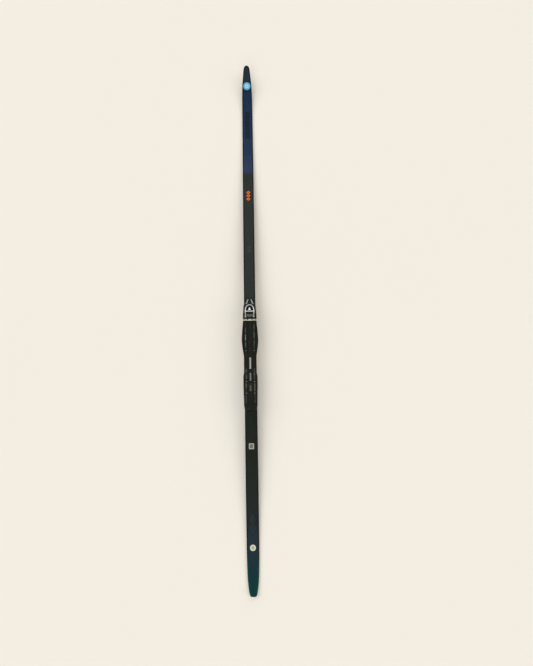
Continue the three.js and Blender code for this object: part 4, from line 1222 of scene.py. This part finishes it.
FOOT_DARK, FOOT_LIGHT = "11130e", "1b1e17"
# the colours of the painted highlights along the ridges' crests
RIDGE_HIGHLIGHT = "6b7268"
RIDGE_FAINT_HIGHLIGHT = "46504a"
foot_marks = {
    "forefoot_plate": [
        # painted shade on the forefoot plate's outer rim
        (shaded_rim(20), "0a1007", 0.7),
        (ridge_glint(-18.4, -13, -116, -6), RIDGE_FAINT_HIGHLIGHT, 0.4),
        (ridge_glint(13, 18.4, -116, -6), RIDGE_FAINT_HIGHLIGHT, 0.5),
        (ridge_glint(-18.2, -15, -56, -28), RIDGE_HIGHLIGHT, 0.45),
        (ridge_glint(-18.4, -14.8, -82, -56, soft=4), "98a198", 0.85),
        (ridge_glint(-18.2, -14.6, -106, -86, soft=5), "7c857c", 0.6),
        (ridge_glint(12.6, 17.8, -96, -22), RIDGE_HIGHLIGHT, 0.3),
    ],
    "link_plate": [
        (ladder(-184, -143, 1.3, 3.1), "b6b7ad", 0.92),
        (ladder(-227, -199, 1.0, 2.9), "9a9d93", 0.7),
        (ridge_glint(-17, -11, -228, -180, 0.6), RIDGE_HIGHLIGHT, 0.45),
        (ridge_glint(11, 17, -228, -180, 0.6), RIDGE_HIGHLIGHT, 0.4),
        # painted highlight on the front edges of the ridges
        (ridge_front_highlight(-117.4), "6b746e", 0.6),
    ],
    "shift_block": [
        (ridge_glint(-18, -12, -270, -231, 1.0), RIDGE_HIGHLIGHT, 0.6),
        (ridge_glint(12, 18, -270, -231, 1.0), RIDGE_HIGHLIGHT, 0.5),
        (ridge_front_highlight(-230), "7c857e", 0.8),
    ],
    "heel_plate": [
        (ridge_glint(-18, -12.6, -312, -271, 1.0), RIDGE_FAINT_HIGHLIGHT, 0.6),
        (ridge_glint(12.6, 18, -312, -271, 1.0), RIDGE_FAINT_HIGHLIGHT, 0.6),
        (ridge_front_highlight(-271.2), "7c857e", 0.65),
    ],
    "heel_cap": [],
}
for node, marks in foot_marks.items():
    plastic = moulded(node + "_plastic", FOOT_DARK, FOOT_LIGHT, marks=marks)
    rounded(node, node + "_cover", plastic, 0.45 * MM)
latch_scale = (ladder(-265, -243, 0.9, 2.8, 3.4), "737158", 0.75)
latch_plastic = moulded("latch_plastic", "1a1c16", "272922", marks=[latch_scale])
rounded("shift_latch", "shift_tab", latch_plastic, 0.35 * MM)
rounded("latch_pin", "latch_axle", steel, 0.2 * MM)
for side in ("left", "right"):
    rounded("lever_pin_" + side, "lever_axle_" + side, steel, 0.3 * MM)
    rounded("seat_screw_" + side, "seat_screw_head_" + side, screw_steel, 0.12 * MM, segments=2)
for number in range(1, 6):
    rounded(f"plate_screw_{number}", f"plate_screw_head_{number}", screw_steel, 0.12 * MM, segments=2)

coil_spring("jaw_spring", "jaw_coil", spring_steel)
latch_leaf = rounded("latch_spring", "latch_leaf", spring_steel, 0.08 * MM, segments=2)
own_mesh(latch_leaf)

for node, material in (
    ("core", wood_core()),
    ("binding_insert", metal("insert_metal", "8b8e91", "b6b9bb", 0.5)),
):
    shape = frame["nodes"][node]
    shape.data.materials.clear()
    shape.data.materials.append(material)

# -------- floor, light and camera

FLOOR_SIZE = 400.0
CAMERA_PLACE = (0.0366, -0.6511, 1.8463)
CAMERA_TILT = math.radians(15.615)
CAMERA_SWING = math.radians(-0.448)
CAMERA_ROLL = math.radians(-1.094)
CAMERA_SENSOR = 36.0
CAMERA_LENS = 27.4595
FLOOR_GAP = 0.1 * MM
SUN_SPREAD = math.radians(50)


def pale_floor():
    g = Graph("pale_floor", roughness=0.9, specular=0.1)
    grit = g.noise(70, 4.0)
    g.finish(g.stain("f3eee3", g.noise(0.8, 3.0), 0.5, 0.5, "f5f0e6"), relief=[(grit, 0.1)])
    half = FLOOR_SIZE / 2
    corners = [(-half, -half, 0), (half, -half, 0), (half, half, 0), (-half, half, 0)]
    floor = make_object("floor", mesh_from("floor", corners, [(0, 1, 2, 3)]), g.material, smooth=False)
    floor.location.z = cad_box[0].z - FLOOR_GAP


def soft_sun(name, direction, strength, colour=(1, 1, 1)):
    """Even light from a wide patch of sky in the given direction, which casts soft shadows."""
    data = bpy.data.lights.new(name, "SUN")
    data.energy = strength
    data.angle = SUN_SPREAD
    data.color = colour
    lamp = add_object(name, data)
    lamp.rotation_mode = "QUATERNION"
    lamp.rotation_quaternion = Vector(direction).to_track_quat("Z", "Y")


def soft_world(strength):
    world = bpy.data.worlds.new("studio")
    bpy.context.scene.world = world
    world.use_nodes = True
    background = world.node_tree.nodes["Background"]
    background.inputs["Color"].default_value = rgb("fbf8f2")
    background.inputs["Strength"].default_value = strength


def photo_camera():
    data = bpy.data.cameras.new("camera")
    data.sensor_width = CAMERA_SENSOR
    data.lens = CAMERA_LENS
    data.clip_start, data.clip_end = 0.01, 1000.0
    camera = add_object("camera", data)
    turn = Matrix.Rotation(CAMERA_ROLL, 4, "Z") @ Matrix.Rotation(CAMERA_TILT, 4, "X")
    turn = turn @ Matrix.Rotation(CAMERA_SWING, 4, "Y")
    camera.matrix_world = Matrix.Translation(CAMERA_PLACE) @ turn
    bpy.context.scene.camera = camera


pale_floor()
soft_world(0.27)
soft_sun("key", (-1.0, 0.35, 1.1), 0.98)
soft_sun("fill", (1.0, -0.2, 0.9), 0.75, (1.0, 0.98, 0.95))
soft_sun("front", (0.15, 1.0, 0.4), 0.5)
soft_sun("back", (-0.15, -1.0, 1.0), 1.33)
photo_camera()
bpy.context.scene.view_settings.view_transform = "Standard"


bpy.context.view_layer.update()
